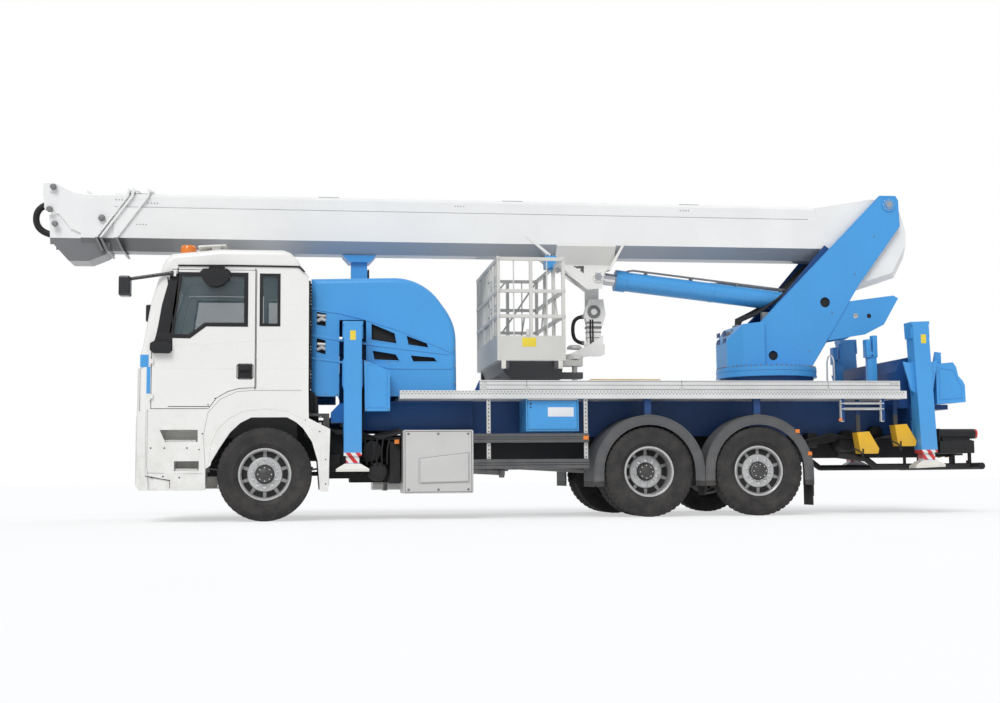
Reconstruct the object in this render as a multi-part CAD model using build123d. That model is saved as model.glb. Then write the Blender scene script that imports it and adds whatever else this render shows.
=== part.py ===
from build123d import *
import math
import os

os.makedirs("parts", exist_ok=True)

# Truck-mounted cherry picker, millimetres, front towards -X, left side towards -Y, +Z up.
# Stations along the truck are measured from the front axle. write() moves every piece so that
# the origin lies under the middle of the whole length.

# Overall
half_width = 1250.0
joint_gap = 5.0
seat_gap = 0.3

# Wheels and axles
wheelbase = 4500.0
tag_spacing = 1350.0
tag_x = wheelbase + tag_spacing
tyre_radius = 535.0
tyre_width = 315.0
twin_tyre_width = 300.0
twin_space = 30.0
bead_radius = 288.0
bead_seat = 0.62
rim_lip = 14.0
rim_wall = 12.0
disc_thick = 18.0
hub_radius = 95.0
hub_plate_radius = 165.0
hand_holes = 10
hand_hole_radius = 24.0
hand_hole_circle = 215.0
kingpin_inset = 320.0
kingpin_y = half_width - kingpin_inset
kingpin_radius = 28.0
axle_stub = 45.0
single_stub = half_width - 60.0
twin_stub = half_width - 200.0
axle_radius = 65.0
differential_radius = 200.0

# Frame
rail_half = 430.0
rail_height = 270.0
rail_top = 970.0
rail_low = rail_top - rail_height
rail_flange = 80.0
rail_wall = 9.0
frame_front = -1150.0
engine_low = rail_top - 210.0
engine_cradles = (-800.0, 400.0)
member_half = 40.0

# Cab
cab_half = half_width - 30.0
cab_wall = 50.0
cab_edge = 70.0
cab_floor = 1260.0
cab_step = 1500.0
cab_rear = 490.0
roof_top = 3130.0
screen_foot = (-1410.0, 1900.0)
screen_low = 1990.0
screen_high = roof_top - 250.0
screen_half = cab_half - 160.0
back_window_half = 700.0
glass_thick = 6.0
glass_inset = 20.0
door_front = -1275.0
door_rear = -110.0
door_sill = 28.0
door_high = roof_top - 250.0
door_gap = 8.0
window_low = 2250.0
window_high = roof_top - 300.0
hinge_x = -1290.0
hinge_out = 16.0
hinge_radius = 8.0
hinge_height = 50.0
hinge_levels = (1400.0, 1800.0)

# Front panel, bumper and fenders
panel_front = -1445.0
panel_low = 1280.0
panel_high = 1750.0
grille_half = cab_half - 330.0
grille_low = panel_low + 40.0
grille_high = panel_high - 40.0
lamp_inner = grille_half - 90.0
lamp_outer = lamp_inner + 270.0
lamp_low = 760.0
lamp_high = 930.0
lamp_depth = 45.0
bumper_front = -1455.0
bumper_low = 360.0
bumper_depth = 125.0
arch_front = 600.0
arch_high = 1185.0
fender_rear = 740.0
skin = 50.0
step_inner = half_width - 290.0

# Subframe, deck and outriggers
deck_low = 1400.0
deck_plate = 40.0
strip_height = 95.0
strip_width = 40.0
rail_deck_top = 1620.0
rail_deck_width = 60.0
sub_half = 600.0
sub_wall = 30.0
sub_front = 2300.0
housing_wall = 12.0
beam_long = 180.0
beam_high = 165.0
housing_low = rail_top + seat_gap
channel_high = beam_high + 2 * joint_gap
housing_top = housing_low + 2 * channel_high + 3 * housing_wall
housing_half = half_width - 220.0
housing_half_long = beam_long / 2 + joint_gap + housing_wall
column_side = 205.0
column_wall = 22.0
front_outrigger_x = 998.0
turret_x = tag_x + 530.0
rear_outrigger_x = turret_x + 1595.0
rear_lean = 2.4
column_low = 740.0
column_high_front = 2300.0
column_high_rear = 2350.0
foot_low = 560.0
foot_half_x = 190.0
foot_half_y = 100.0
foot_plate = 30.0
deck_front = 1540.0
deck_rear = rear_outrigger_x - 245.0
rail_deck_front = 2480.0
rail_deck_rear = deck_rear - 60.0
frame_rear = rear_outrigger_x + 445.0
rear_end = rear_outrigger_x + 1025.0
tow_bore_x = rear_end - 70.0
tow_bore_radius = 25.0
tow_z = 790.0

# Cowl and the post that holds the stowed boom
cowl_half = half_width - 250.0
cowl_front = 520.0
cowl_rear = 2232.0
cowl_skin = 30.0
cowl_edge = 70.0
cowl_low = deck_low + deck_plate + seat_gap
cowl_top = roof_top - 267.0
rest_x = 1110.0
rest_side = 100.0
rest_gap = 8.0

# Turret and boom
ring_radius = 640.0
pedestal_radius = 600.0
ring_low = 1725.0
ring_high = 1850.0
tower_half = 320.0
tower_plate = 40.0
boom_over_roof = 130.0
boom_half = 285.0
boom_keel = 120.0
boom_low = roof_top + boom_over_roof
boom_side_low = boom_low + 140.0
boom_high = boom_low + 690.0
boom_seam = boom_high - 170.0
seam_step = 8.0
boom_bevel = 40.0
boom_front = -1850.0
head_face = -2480.0
collar_places = (-55.0, 0.0, 185.0)
collar_grow = 28.0
boom_back = turret_x + 770.0
boom_pin_x = turret_x + 1590.0
boom_pin_z = boom_high + 30.0
boom_pin_radius = 50.0
tower_top = boom_pin_z + 120.0
front_end = -2850.0
shift_x = -(front_end + rear_end) / 2

# Lift cylinder
lift_foot = (turret_x + 690.0, ring_high + 840.0)
lift_eye = (turret_x - 2236.0, boom_low - 240.0)
barrel_radius = 125.0
barrel_end_gap = 244.55
barrel_length = math.hypot(lift_foot[0] - lift_eye[0], lift_foot[1] - lift_eye[1]) - barrel_end_gap
rod_radius = 80.0
eye_radius = 115.0
bracket_plate = 28.0
bracket_low_half = 200.0

# Jib, arm and basket
jib_half = 90.0
jib_y = 430.0
jib_low = boom_side_low
jib_high = jib_low + 300.0
level_pin = (turret_x - 2240.0, boom_low - 660.0)
level_pin_radius = 40.0
arm_half_long = 90.0
arm_inner = 140.0
arm_outer = 250.0
yaw_x = level_pin[0] - 290.0
yaw_pin_radius = 35.0
basket_rear = yaw_x - 300.0
basket_front = basket_rear - 830.0
basket_half = 1000.0
basket_low = rail_deck_top + 40.0
basket_floor = basket_low + 210.0
basket_toe = basket_floor + 300.0
basket_top = boom_low - 140.0
basket_tube = 40.0
hose_radius = 40.0
arm_hose_radius = 24.0
clamp_depth = 40.0

# Mudguards, covers, chocks and the rear end
mudguard_radius = tag_spacing / 2 - 3
mudguard_low = 360.0
cover_front = rear_outrigger_x + 215.0
cover_low = 1340.0
cover_inner = 560.0
cover_outer = 1100.0
chock_out = -half_width + 100.0
chock_width = 160.0
chock_outline = ((0.0, 258.0), (155.0, 270.0), (277.0, 61.0), (262.0, 0.0), (42.0, 0.0))
chock_places = ((turret_x + 1226, 825.0), (turret_x + 740, 735.0))
tail_x = rear_outrigger_x + 735.0
tail_y = half_width - 270.0
tail_z = 975.0
tail_radius = 62.0
guard_z = 575.0
guard_y = half_width - 300.0
guard_radius = 38.0


def block(x0, x1, y0, y1, z0, z1):
    return Pos((x0 + x1) / 2, (y0 + y1) / 2, (z0 + z1) / 2) * Box(abs(x1 - x0), abs(y1 - y0), abs(z1 - z0))


def prism_y(points, y0, y1):
    face = make_face(Polyline([(x, y0, z) for x, z in points], close=True))
    return extrude(face, amount=y1 - y0, dir=(0, 1, 0))


def prism_x(points, x0, x1):
    face = make_face(Polyline([(x0, y, z) for y, z in points], close=True))
    return extrude(face, amount=x1 - x0, dir=(1, 0, 0))


def prism_z(points, z0, z1):
    face = make_face(Polyline([(x, y, z0) for x, y in points], close=True))
    return extrude(face, amount=z1 - z0, dir=(0, 0, 1))


def rod(p, q, radius):
    p, q = Vector(*p), Vector(*q)
    on_end = (Align.CENTER, Align.CENTER, Align.MIN)
    return Plane(origin=p, z_dir=q - p) * Cylinder(radius, (q - p).length, align=on_end)


def rod_y(x, z, y0, y1, radius):
    return rod((x, y0, z), (x, y1, z), radius)


def mirrored(shape):
    return mirror(shape, about=Plane.XZ)


def both(shape):
    return [shape, mirrored(shape)]


def fused(first, *others):
    result = first
    for other in others:
        result = result + other
    return result


def grown(points, amount, y0, y1):
    face = make_face(Polyline([(x, y0, z) for x, z in points], close=True))
    return extrude(offset(face, amount, kind=Kind.INTERSECTION), amount=y1 - y0, dir=(0, 1, 0))


def write(name, *shapes):
    solids = []
    for shape in shapes:
        solids.extend(shape.solids())
    moved = [Pos(shift_x, 0, 0) * s for s in solids]
    export_step(moved[0] if len(moved) == 1 else Compound(moved), f"parts/{name}.step")


# Frame rails as channels with their flanges inward, joined by cross members
def chassis_frame():
    web = rail_half - rail_wall
    rail = block(frame_front, frame_rear, -rail_half, -web, rail_low, rail_top)
    for z in (rail_low, rail_top - rail_wall):
        rail += block(frame_front, frame_rear, -rail_half, -rail_half + rail_flange, z, z + rail_wall)
    frame = fused(rail, mirrored(rail))
    members = (frame_front + 50, 760.0, 2000.0, wheelbase - 900, wheelbase + tag_spacing / 2, turret_x + 520,
               frame_rear - 50)
    for x in members:
        frame += block(x - member_half, x + member_half, -web, web, rail_low + member_half, rail_top
                       - member_half)
    for x in engine_cradles:
        frame += block(x - 50, x + 50, -web, web, rail_low, engine_low - seat_gap)
    for x, top in ((frame_front + 50, cab_floor), (cab_rear - 90, cab_step)):
        for side in (-1, 1):
            frame += block(x - member_half, x + member_half, side * (rail_half - rail_flange),
                           side * rail_half,
                           rail_top, top - seat_gap)
    return frame


def engine_block():
    return block(engine_cradles[0] - 100, engine_cradles[1] + 100, -300, 300, engine_low, rail_top + 260)


# Front axle: dropped beam, springs and kingpins
def front_axle():
    half = 60.0
    low = tyre_radius - 130
    seat = tyre_radius - 20
    spring_y = (rail_half - 80, rail_half - 10)
    beam = block(-half, half, -kingpin_y + half, kingpin_y - half, low, seat)
    for side in (-1, 1):
        beam += Pos(0, side * kingpin_y, tyre_radius) * Cylinder(kingpin_radius, 260)
        beam += block(-half, half, side * (kingpin_y - 75), side * (kingpin_y + 50), low, low + 50)
        beam += block(-700, 700, side * spring_y[0], side * spring_y[1], seat, seat + 50)
        for x in (-640, 640):
            beam += block(x - 30, x + 30, side * spring_y[0], side * spring_y[1], seat + 50, rail_low)
    return beam


def knuckle():
    boss = Pos(0, -kingpin_y, tyre_radius) * Cylinder(52, 130)
    boss -= Pos(0, -kingpin_y, tyre_radius) * Cylinder(kingpin_radius + seat_gap, 200)
    stub = rod_y(0, tyre_radius, -kingpin_y - 40, -single_stub, axle_stub)
    return boss + stub


def rear_axles():
    shapes = []
    for x, inner, stub in ((wheelbase, twin_stub - 245, twin_stub), (tag_x, single_stub - 110, single_stub)):
        axle = rod_y(x, tyre_radius, -inner, inner, axle_radius)
        if x == wheelbase:
            axle += Pos(x, 0, tyre_radius) * Sphere(differential_radius)
        for side in (-1, 1):
            axle += block(x - 80, x + 80, side * (rail_half - 90), side * (rail_half - 10), tyre_radius
                          + 30, rail_low)
            axle += rod_y(x, tyre_radius, side * (inner - 10), side * stub, axle_stub)
        shapes.append(axle)
    return shapes


# Wheels: section points are (radius, distance along the axle from the wheel's middle)
def tyre(width):
    w = width / 2
    seat = w * bead_seat
    foot = bead_radius + rim_lip + 4
    shoulder = tyre_radius - 28
    bulge = bead_radius + 130
    lines = Polyline([(foot, w * 0.74), (foot, seat), (bead_radius, seat), (bead_radius, -seat),
                      (foot, -seat),
                      (foot, -w * 0.74)])
    left = ThreePointArc((foot, -w * 0.74), (bulge, -w), (shoulder, -w * 0.9))
    crown = Polyline([(shoulder, -w * 0.9), (tyre_radius, -w * 0.78), (tyre_radius, w * 0.78),
                      (shoulder, w * 0.9)])
    right = ThreePointArc((shoulder, w * 0.9), (bulge, w), (foot, w * 0.74))
    face = make_face(Curve() + [lines, left, crown, right])
    return revolve(face, axis=Axis.Y, revolution_arc=360)


def ring(r0, r1, y0, y1):
    face = make_face(Polyline([(r0, y0), (r1, y0), (r1, y1), (r0, y1)], close=True))
    return revolve(face, axis=Axis.Y, revolution_arc=360)


# A rim whose disc stands at disc_y and whose hub reaches hub_out beyond it, closed by a cap or bored through
def rim(width, disc_y, hub_out, cap):
    seat = width / 2 * bead_seat
    outer = bead_radius - seat_gap
    reach = max(seat, abs(disc_y) + disc_thick)
    wheel = ring(outer - rim_wall, outer, -seat, seat)
    wheel += ring(outer - 2 * rim_wall, outer - rim_wall + 1, -reach if disc_y < 0 else 0,
                  reach if disc_y > 0 else 0)
    for side in (-1, 1):
        wheel += ring(outer - rim_wall, bead_radius + rim_lip, side * (seat + seat_gap), side * (seat + 9))
        wheel += ring(outer - rim_wall, outer, side * (seat - 1), side * (seat + 9))
    wheel += ring(0, outer - rim_wall - 1, disc_y, disc_y + disc_thick)
    wheel += ring(0, hub_plate_radius, disc_y - 14, disc_y + 24)
    wheel += ring(0, hub_radius, disc_y - hub_out, disc_y + 60)
    for i in range(hand_holes):
        a = 2 * math.pi * i / hand_holes
        x, z = hand_hole_circle * math.cos(a), hand_hole_circle * math.sin(a)
        wheel -= rod((x, disc_y - 40, z), (x, disc_y + 60, z), hand_hole_radius)
    wheel -= rod_y(0, 0, disc_y - hub_out + cap, disc_y + 400, axle_stub + seat_gap)
    return wheel


def at_wheel(shape, x, y, side):
    placed = Pos(x, -abs(y), tyre_radius) * shape
    return placed if side < 0 else mirrored(placed)


# Cab: one outer section along the truck, hollowed, with its windows and doorways cut
step_line = [(-150.0, cab_step), (-300.0, cab_step - 8), (-430.0, cab_step - 45), (-560.0, cab_step - 125),
             (-655.0, cab_floor)]
roof_line = [(-1069.0, roof_top - 60), (-520.0, roof_top), (195.0, roof_top), (277.0, roof_top - 30),
             (360.0, roof_top - 110), (401.0, roof_top - 181), (cab_rear, roof_top - 306)]
screen_line = [screen_foot, (-1385.0, screen_low), (-1342.0, screen_low + 248), (-1297.0, screen_low + 516),
               (-1173.0, roof_top - 209), (-1139.0, roof_top - 130)]
cab_section = [(screen_foot[0], cab_floor)] + screen_line + roof_line + [(cab_rear, cab_step)] + step_line
door_section = [(door_front, cab_floor + 30), (step_line[-1][0] + 15, cab_floor + 30)]
door_section += [(x, z + door_sill) for x, z in reversed(step_line[:-1])]
door_section += [(door_rear, cab_step + door_sill), (door_rear, door_high), (-1060.0, door_high),
                 (-1255.0, screen_low), (door_front, screen_low - 40)]
door_window = [(-1062.0, window_low - 105), (-1040.0, window_low - 135), (-860.0, window_low - 138),
               (-680.0, window_low), (door_rear - 115, window_low), (door_rear - 115, window_high),
               (-968.0, window_high)]
rear_window = [(door_rear + 55, window_low), (door_rear + 258, window_low), (door_rear + 258, window_high),
               (door_rear + 55, window_high)]


def cab_body():
    body = prism_y(cab_section, -cab_half, cab_half)
    edges = [e for e in body.edges() if abs(abs(e.center().Y) - cab_half) < 1 and (
        e.center().Z > roof_top - 250 or e.center().X < screen_line[1][0] + 250)
        and e.center().Z > cab_floor + 10]
    return fillet(edges, cab_edge)


def cab_shell():
    inner = grown(cab_section, -cab_wall, -cab_half + cab_wall, cab_half - cab_wall)
    shell = cab_body() - inner
    for side in (-1, 1):
        y0, y1 = side * (cab_half + 10), side * (cab_half - cab_wall - 10)
        shell -= grown(door_section, door_gap, y0, y1)
        shell -= prism_y(rear_window, y0, y1)
        for z in hinge_levels:
            axis_y = side * (cab_half + hinge_out)
            shell += block(hinge_x - 15, hinge_x + 10, axis_y + side * hinge_radius,
                           side * (cab_half - cab_edge),
                           z - 20, z - seat_gap)
            shell += Pos(hinge_x, axis_y, z + hinge_height / 2) * Cylinder(hinge_radius, hinge_height + 10)
    shell -= block(screen_foot[0] - 300, -1100, -screen_half, screen_half, screen_low, screen_high)
    shell -= block(cab_rear - 100, cab_rear + 100, -back_window_half, back_window_half, window_low,
                   screen_high - 130)
    return shell


# Door with its window, and the mirrors on their arm as a second solid
def door():
    panel = prism_y(door_section, -cab_half, -cab_half + cab_wall)
    panel -= prism_y(door_window, -cab_half - 10, -cab_half + cab_wall + 10)
    axis_y = -cab_half - hinge_out
    for z in hinge_levels:
        panel += Pos(hinge_x, axis_y, z + hinge_height / 2) * Cylinder(hinge_out - joint_gap, hinge_height)
        panel += block(hinge_x, door_front + 20, axis_y - 8, -cab_half - joint_gap, z, z + hinge_height)
        panel += block(door_front, door_front + 20, axis_y, -cab_half + 1, z, z + hinge_height)
        panel -= Pos(hinge_x, axis_y, z + hinge_height / 2) * Cylinder(hinge_radius + seat_gap, 70)
    return panel


def mirrors():
    face = -cab_half - seat_gap
    top = door_high - 40
    pieces = [fused(block(-1075, -1015, face - 40, face, top - 40, top + 30),
                    rod((-1040, face - 25, top), (-1570, face - 60, top - 90), 20),
                    rod((-1570, face - 60, top - 90), (-1570, face - 95, top - 130), 20))]
    head = block(-1635, -1505, face - 190, face - 20, top - 290, top - 60)
    pieces[0] = pieces[0] + fillet(head.edges(), 25)
    low = block(-1262, -1075, face - 38, face, screen_low - 60, screen_low + 25)
    pieces.append(fillet(low.edges().filter_by(Axis.Y), 20))
    return pieces


def door_glass():
    y0 = -cab_half + glass_inset
    return grown(door_window, -seat_gap, y0, y0 + glass_thick)


def cab_glass():
    low, high, half = screen_low + seat_gap, screen_high - seat_gap, screen_half - seat_gap
    screen = grown(cab_section, -glass_inset, -half, half) - grown(cab_section, -glass_inset - glass_thick,
                                                                   -half, half)
    panes = [screen & block(screen_foot[0] - 100, -1100, -half, half, low, high)]
    for side in (-1, 1):
        y0 = side * (cab_half - glass_inset)
        panes.append(grown(rear_window, -seat_gap, y0, y0 - side * glass_thick))
    half = back_window_half - seat_gap
    panes.append(block(cab_rear - 30, cab_rear - 30 + glass_thick, -half, half, window_low + seat_gap,
                       screen_high - 130 - seat_gap))
    return panes


# Dash with its steering wheel, and two seats, on the cab floor
def cab_interior():
    floor = cab_floor + cab_wall + seat_gap
    rise = cab_step + cab_wall + seat_gap
    inside = cab_half - cab_wall - 60
    wheel_at = (-850.0, -560.0, 1910.0)
    dash = prism_y([(-1350, floor), (-1350, 1890), (-1150, 1930), (-1000, 1850), (-1050, 1650),
                    (-1200, floor)],
                   -inside, inside)
    column = rod((-1100, wheel_at[1], 1700), wheel_at, 35)
    tilt = Plane(origin=wheel_at, z_dir=(-240, 0, -200))
    seats = []
    for side in (-1, 1):
        y0, y1 = side * 300, side * 820
        base = block(-280, 200, y0 + side * 60, y1 - side * 60, rise, rise + 220)
        cushion = block(-330, 200, y0, y1, rise + 220, rise + 350)
        back = prism_y([(120, rise + 350), (240, rise + 350), (400, rise + 1060), (300, rise + 1060)], y0,
                       y1)
        seats.append(fused(base, cushion, back))
    return [fused(dash, column, tilt * Torus(215, 16), tilt * Box(430, 40, 16))] + seats


def corner_cut(front, half, z0, z1):
    wedge = prism_z([(front - 10, half - 130), (front, half - 130), (front + 25, half - 55),
                     (front + 75, half),
                     (front + 75, half + 40), (front - 10, half + 40)], z0, z1)
    return fused(wedge, mirrored(wedge))


# Panel around the grille and the bumper below it, with their outer corners cut back
def cab_front():
    face = screen_foot[0] - seat_gap
    top = panel_low - seat_gap
    panel = block(panel_front, face, -cab_half, cab_half, panel_low, panel_high)
    panel -= corner_cut(panel_front, cab_half, panel_low - 10, panel_high + 10)
    panel -= block(panel_front - 10, face + 10, -grille_half, grille_half, grille_low, grille_high)
    half = half_width - 20
    back = bumper_front + bumper_depth
    bumper = prism_y([(bumper_front, 430), (bumper_front + 55, bumper_low), (-1060, bumper_low),
                      (-1060, 470),
                      (back, 520), (back, cab_floor - seat_gap), (face, cab_floor - seat_gap),
                      (face, top), (bumper_front + 15, top), (bumper_front, 1115)], -half, half)
    bumper -= corner_cut(bumper_front, half, bumper_low - 10, top + 10)
    for side in (-1, 1):
        bumper -= block(bumper_front - 10, bumper_front + lamp_depth, side * lamp_inner, side * lamp_outer,
                        lamp_low, lamp_high)
    bumper -= block(bumper_front - 10, bumper_front + 30, -grille_half + 150, grille_half - 150, 560, 860)
    return [panel, bumper]


def grille():
    x0, x1 = panel_front + 5, screen_foot[0] - seat_gap
    frame = block(x0, x1, -grille_half + seat_gap, grille_half - seat_gap, grille_low + seat_gap,
                  grille_high - seat_gap)
    slats = 5
    pitch = (grille_high - grille_low - 20) / slats
    for i in range(slats):
        z = grille_low + 20 + i * pitch
        frame -= block(x0 - 10, x1 - 10, -grille_half + 40, grille_half - 40, z, z + pitch - 22)
    return frame


# Head lamps in the bumper and tail lamps at the ends of their tubes
def lamps():
    items = []
    for side in (-1, 1):
        items.append(block(bumper_front + 8, bumper_front + lamp_depth - seat_gap,
                           side * (lamp_inner + seat_gap),
                           side * (lamp_outer - seat_gap), lamp_low + seat_gap, lamp_high - seat_gap))
        y = side * tail_y
        items.append(rod((tail_x + seat_gap, y, tail_z), (tail_x + 25, y, tail_z), tail_radius))
    return items


# Two turning lamps on the sloping front of the roof
def beacons():
    items = []
    x0, x1 = -960.0, -840.0
    for side in (-1, 1):
        base = prism_y([(x0, roof_z(x0) + seat_gap), (x1, roof_z(x1) + seat_gap), (x1, roof_top + 5),
                        (x0, roof_top + 5)], side * 640, side * 760)
        items.append(base + Pos((x0 + x1) / 2, side * 700, roof_top + 48) * Cylinder(50, 125))
    return items


def roof_z(x):
    (xa, za), (xb, zb) = roof_line[0], roof_line[1]
    return za + (zb - za) * (x - xa) / (xb - xa)


def roof_flap():
    x0, x1 = -820.0, -530.0
    return prism_y([(x0, roof_z(x0) + seat_gap), (x1, roof_z(x1) + seat_gap), (x1 + 60, roof_top + 88),
                    (x0 - 40, roof_top + 95)], -520, 520)


# Each front fender: an outer skin with the wheel arch cut, its top and rear walls, and two steps in wells
arch_line = [(-arch_front, 680.0), (-515.0, 826.0), (-395.0, 1010.0), (-280.0, 1120.0), (-153.0, arch_high),
             (248.0, arch_high), (350.0, 1130.0), (430.0, 1060.0), (533.0, 903.0), (597.0, 690.0)]
step_wells = ((-1175.0, -752.0, 907.0, 1045.0, 60.0), (-1010.0, -737.0, 583.0, 690.0, 0.0))


def front_fender():
    front = bumper_front + bumper_depth + joint_gap
    outline = [(front, 530.0), (-1050.0, 478.0), (-1050.0, bumper_low), (-663.0, bumper_low),
               (-663.0, 600.0),
               (-607.0, 640.0)] + arch_line
    outline += [(626.0, 335.0), (fender_rear - 20, 335.0), (fender_rear, 1049.0), (cab_rear + 5, 1172.0),
                (cab_rear, cab_step - seat_gap)]
    outline += [(x, z - seat_gap) for x, z in step_line] + [(front, cab_floor - seat_gap)]
    top = arch_high + 15
    inner = -half_width + skin
    skin_part = prism_y(outline, -half_width, inner)
    walls = [block(-640, fender_rear - 10, inner, -700, top, top + 30),
             block(665, fender_rear - 10, inner, -760, 400, top + 10),
             block(-690, -664, inner, -step_inner, 380, top + 10),
             block(-1050, -660, inner, -step_inner, top + 20, top + 50)]
    body = fused(skin_part, *walls)
    for x0, x1, z0, z1, slant in step_wells:
        body += block(x0 - 15, x1 + 15, inner - 1, -step_inner - 10, z0 - 15, z1 + 15)
        body -= prism_y([(x0, z1), (x0 + slant, z0), (x1, z0), (x1, z1)], -half_width - 10, -step_inner - 25)
        body += block(x0 + slant + 20, x1 - 20, -half_width + 15, -half_width + 60, z0 - 1, z0 + 20)
    return body


# Cowl over the machinery behind the cab: an arched shell, open below, slotted and cut out for the outriggers
cowl_slots = ([(1217, 2306), (1500, 2189), (1524, 2059), (1217, 2104)],
              [(1630, 2166), (1879, 2073), (1903, 2013), (1654, 2048)],
              [(1229, 1986), (1512, 1940), (1559, 1857), (1253, 1868)],
              [(1677, 1929), (1962, 1906), (2009, 1847), (1712, 1846)],
              [(575, 2440), (702, 2418), (691, 2255), (575, 2277)],
              [(575, 2130), (691, 2101), (692, 1924), (575, 1956)])


def cowl_outline(inset):
    y = -cowl_half
    x0, x1, top = cowl_front + inset, cowl_rear - inset, cowl_top - inset
    low = cowl_low - (1 if inset else 0)
    dome = FilletPolyline((x0, y, top - 35), (cowl_rear - 405 - 0.5 * inset, y, top),
                          (x1 - 7, y, top - 549 + 0.5 * inset), (x1, y, low), radius=650)
    return Curve() + [dome, Polyline([(x1, y, low), (x0, y, low), (x0, y, top - 35)])]


def cowl():
    outer = extrude(make_face(cowl_outline(0)), amount=2 * cowl_half, dir=(0, 1, 0))
    edges = [e for e in outer.edges() if abs(abs(e.center().Y) - cowl_half) < 1 and e.center().Z > cowl_low
             + 10]
    outer = fillet(edges, cowl_edge)
    inner = extrude(make_face(cowl_outline(cowl_skin)), amount=2 * (cowl_half - cowl_skin), dir=(0, 1, 0))
    shell = outer - Pos(0, cowl_skin, 0) * inner
    for slot in cowl_slots:
        shell -= prism_y(slot, -cowl_half - 10, cowl_half + 10)
    notch = front_outrigger_x - column_side / 2 - 50
    shell -= block(notch, notch + column_side + 110, -cowl_half - 10, cowl_half + 10, cowl_low - 10,
                   column_high_front + 40)
    gap = rest_side + joint_gap
    shell -= block(rest_x - gap, rest_x + gap, -gap, gap, cowl_top - 100, cowl_top + 10)
    return shell


# Post with a saddle, in which the stowed boom lies
def boom_rest():
    top = boom_low - rest_gap
    post = block(rest_x - rest_side, rest_x + rest_side, -rest_side, rest_side, housing_top + seat_gap, top
                 - 90)
    saddle = prism_y([(rest_x - 130, top - 90), (rest_x + 130, top - 90), (rest_x + 210, top),
                      (rest_x - 210, top)],
                     -150, 150)
    return post + saddle


# Subframe: two side girders, the outrigger housings on the rails and the pedestal under the turret
def channel_low(level):
    return housing_low + housing_wall + level * (channel_high + housing_wall)


def housing(x):
    half = housing_half_long
    box = block(x - half, x + half, -housing_half, housing_half, housing_low, housing_top)
    for level in (0, 1):
        z0 = channel_low(level)
        box -= block(x - half + housing_wall, x + half - housing_wall, -housing_half - 1, housing_half + 1,
                     z0, z0 + channel_high)
    return box


# The hood stands on the rear housing between the two columns
def subframe():
    top = deck_low - seat_gap
    rear_start = rear_outrigger_x - housing_half_long
    rear_side = rear_outrigger_x + housing_half_long - 1
    frame = housing(rear_outrigger_x)
    hood = prism_y([(rear_start - 140, housing_top - 60), (rear_start - 140, deck_low + 350),
                    (rear_start - 75, deck_low + 510), (rear_start + 125, deck_low + 550),
                    (rear_side + 60, deck_low + 550), (rear_side + 60, housing_top - 60)],
                   -housing_half + 60, housing_half - 60)
    frame += hood - block(rear_start, rear_side, -housing_half, housing_half, housing_low, housing_top - 1)
    for side in (-1, 1):
        for y in (sub_half, rail_half):
            frame += block(sub_front, rear_start, side * y, side * (y - sub_wall), housing_low, top)
        frame += block(rear_side, cover_front + 210, side * cover_inner, side * (cover_outer - 150),
                       cover_low - 60, cover_low - seat_gap)
    for x in (sub_front, 3300.0, wheelbase - 200, wheelbase + 800, turret_x + 1020):
        frame += block(x, x + 60, -sub_half, sub_half, housing_low, top)
    base_top = ring_low - seat_gap
    frame += Pos(turret_x, 0, (housing_low + base_top) / 2) * Cylinder(pedestal_radius, base_top
                                                                       - housing_low)
    frame += block(rear_side, frame_rear, -rail_half, rail_half, housing_low, housing_low + 60)
    return frame


# The front housing has a sloping nose ahead of each column
def front_housing():
    box = housing(front_outrigger_x)
    x1 = front_outrigger_x - housing_half_long
    x0 = fender_rear + 10
    for side in (-1, 1):
        box += prism_y([(x0, 1130), (x0, 1250), (x1 - 40, housing_top), (x1 + 1, housing_top),
                        (x1 + 1, 1130)],
                       side * (housing_half - 150), side * housing_half)
    return box


# Deck with its side strips and raised rails, open round the pedestal
def deck():
    plate = block(deck_front, deck_rear, -half_width, half_width, deck_low, deck_low + deck_plate)
    plate -= Pos(turret_x, 0, deck_low) * Cylinder(pedestal_radius + 20, 200)
    plate -= block(deck_rear - 60, deck_rear + 10, -housing_half + 55, housing_half - 55, deck_low - 1,
                   deck_low + 200)
    rail_out = half_width - strip_width - 10
    for side in (-1, 1):
        plate += block(deck_front, deck_rear, side * (half_width - strip_width), side * half_width, deck_low,
                       deck_low + strip_height)
        plate += block(rail_deck_front, rail_deck_rear, side * (rail_out - rail_deck_width), side * rail_out,
                       deck_low + deck_plate, rail_deck_top)
    return plate


def leaned(shape, x, lean):
    return Pos(x, 0, deck_low) * Rot(0, -lean, 0) * Pos(-x, 0, -deck_low) * shape


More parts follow.
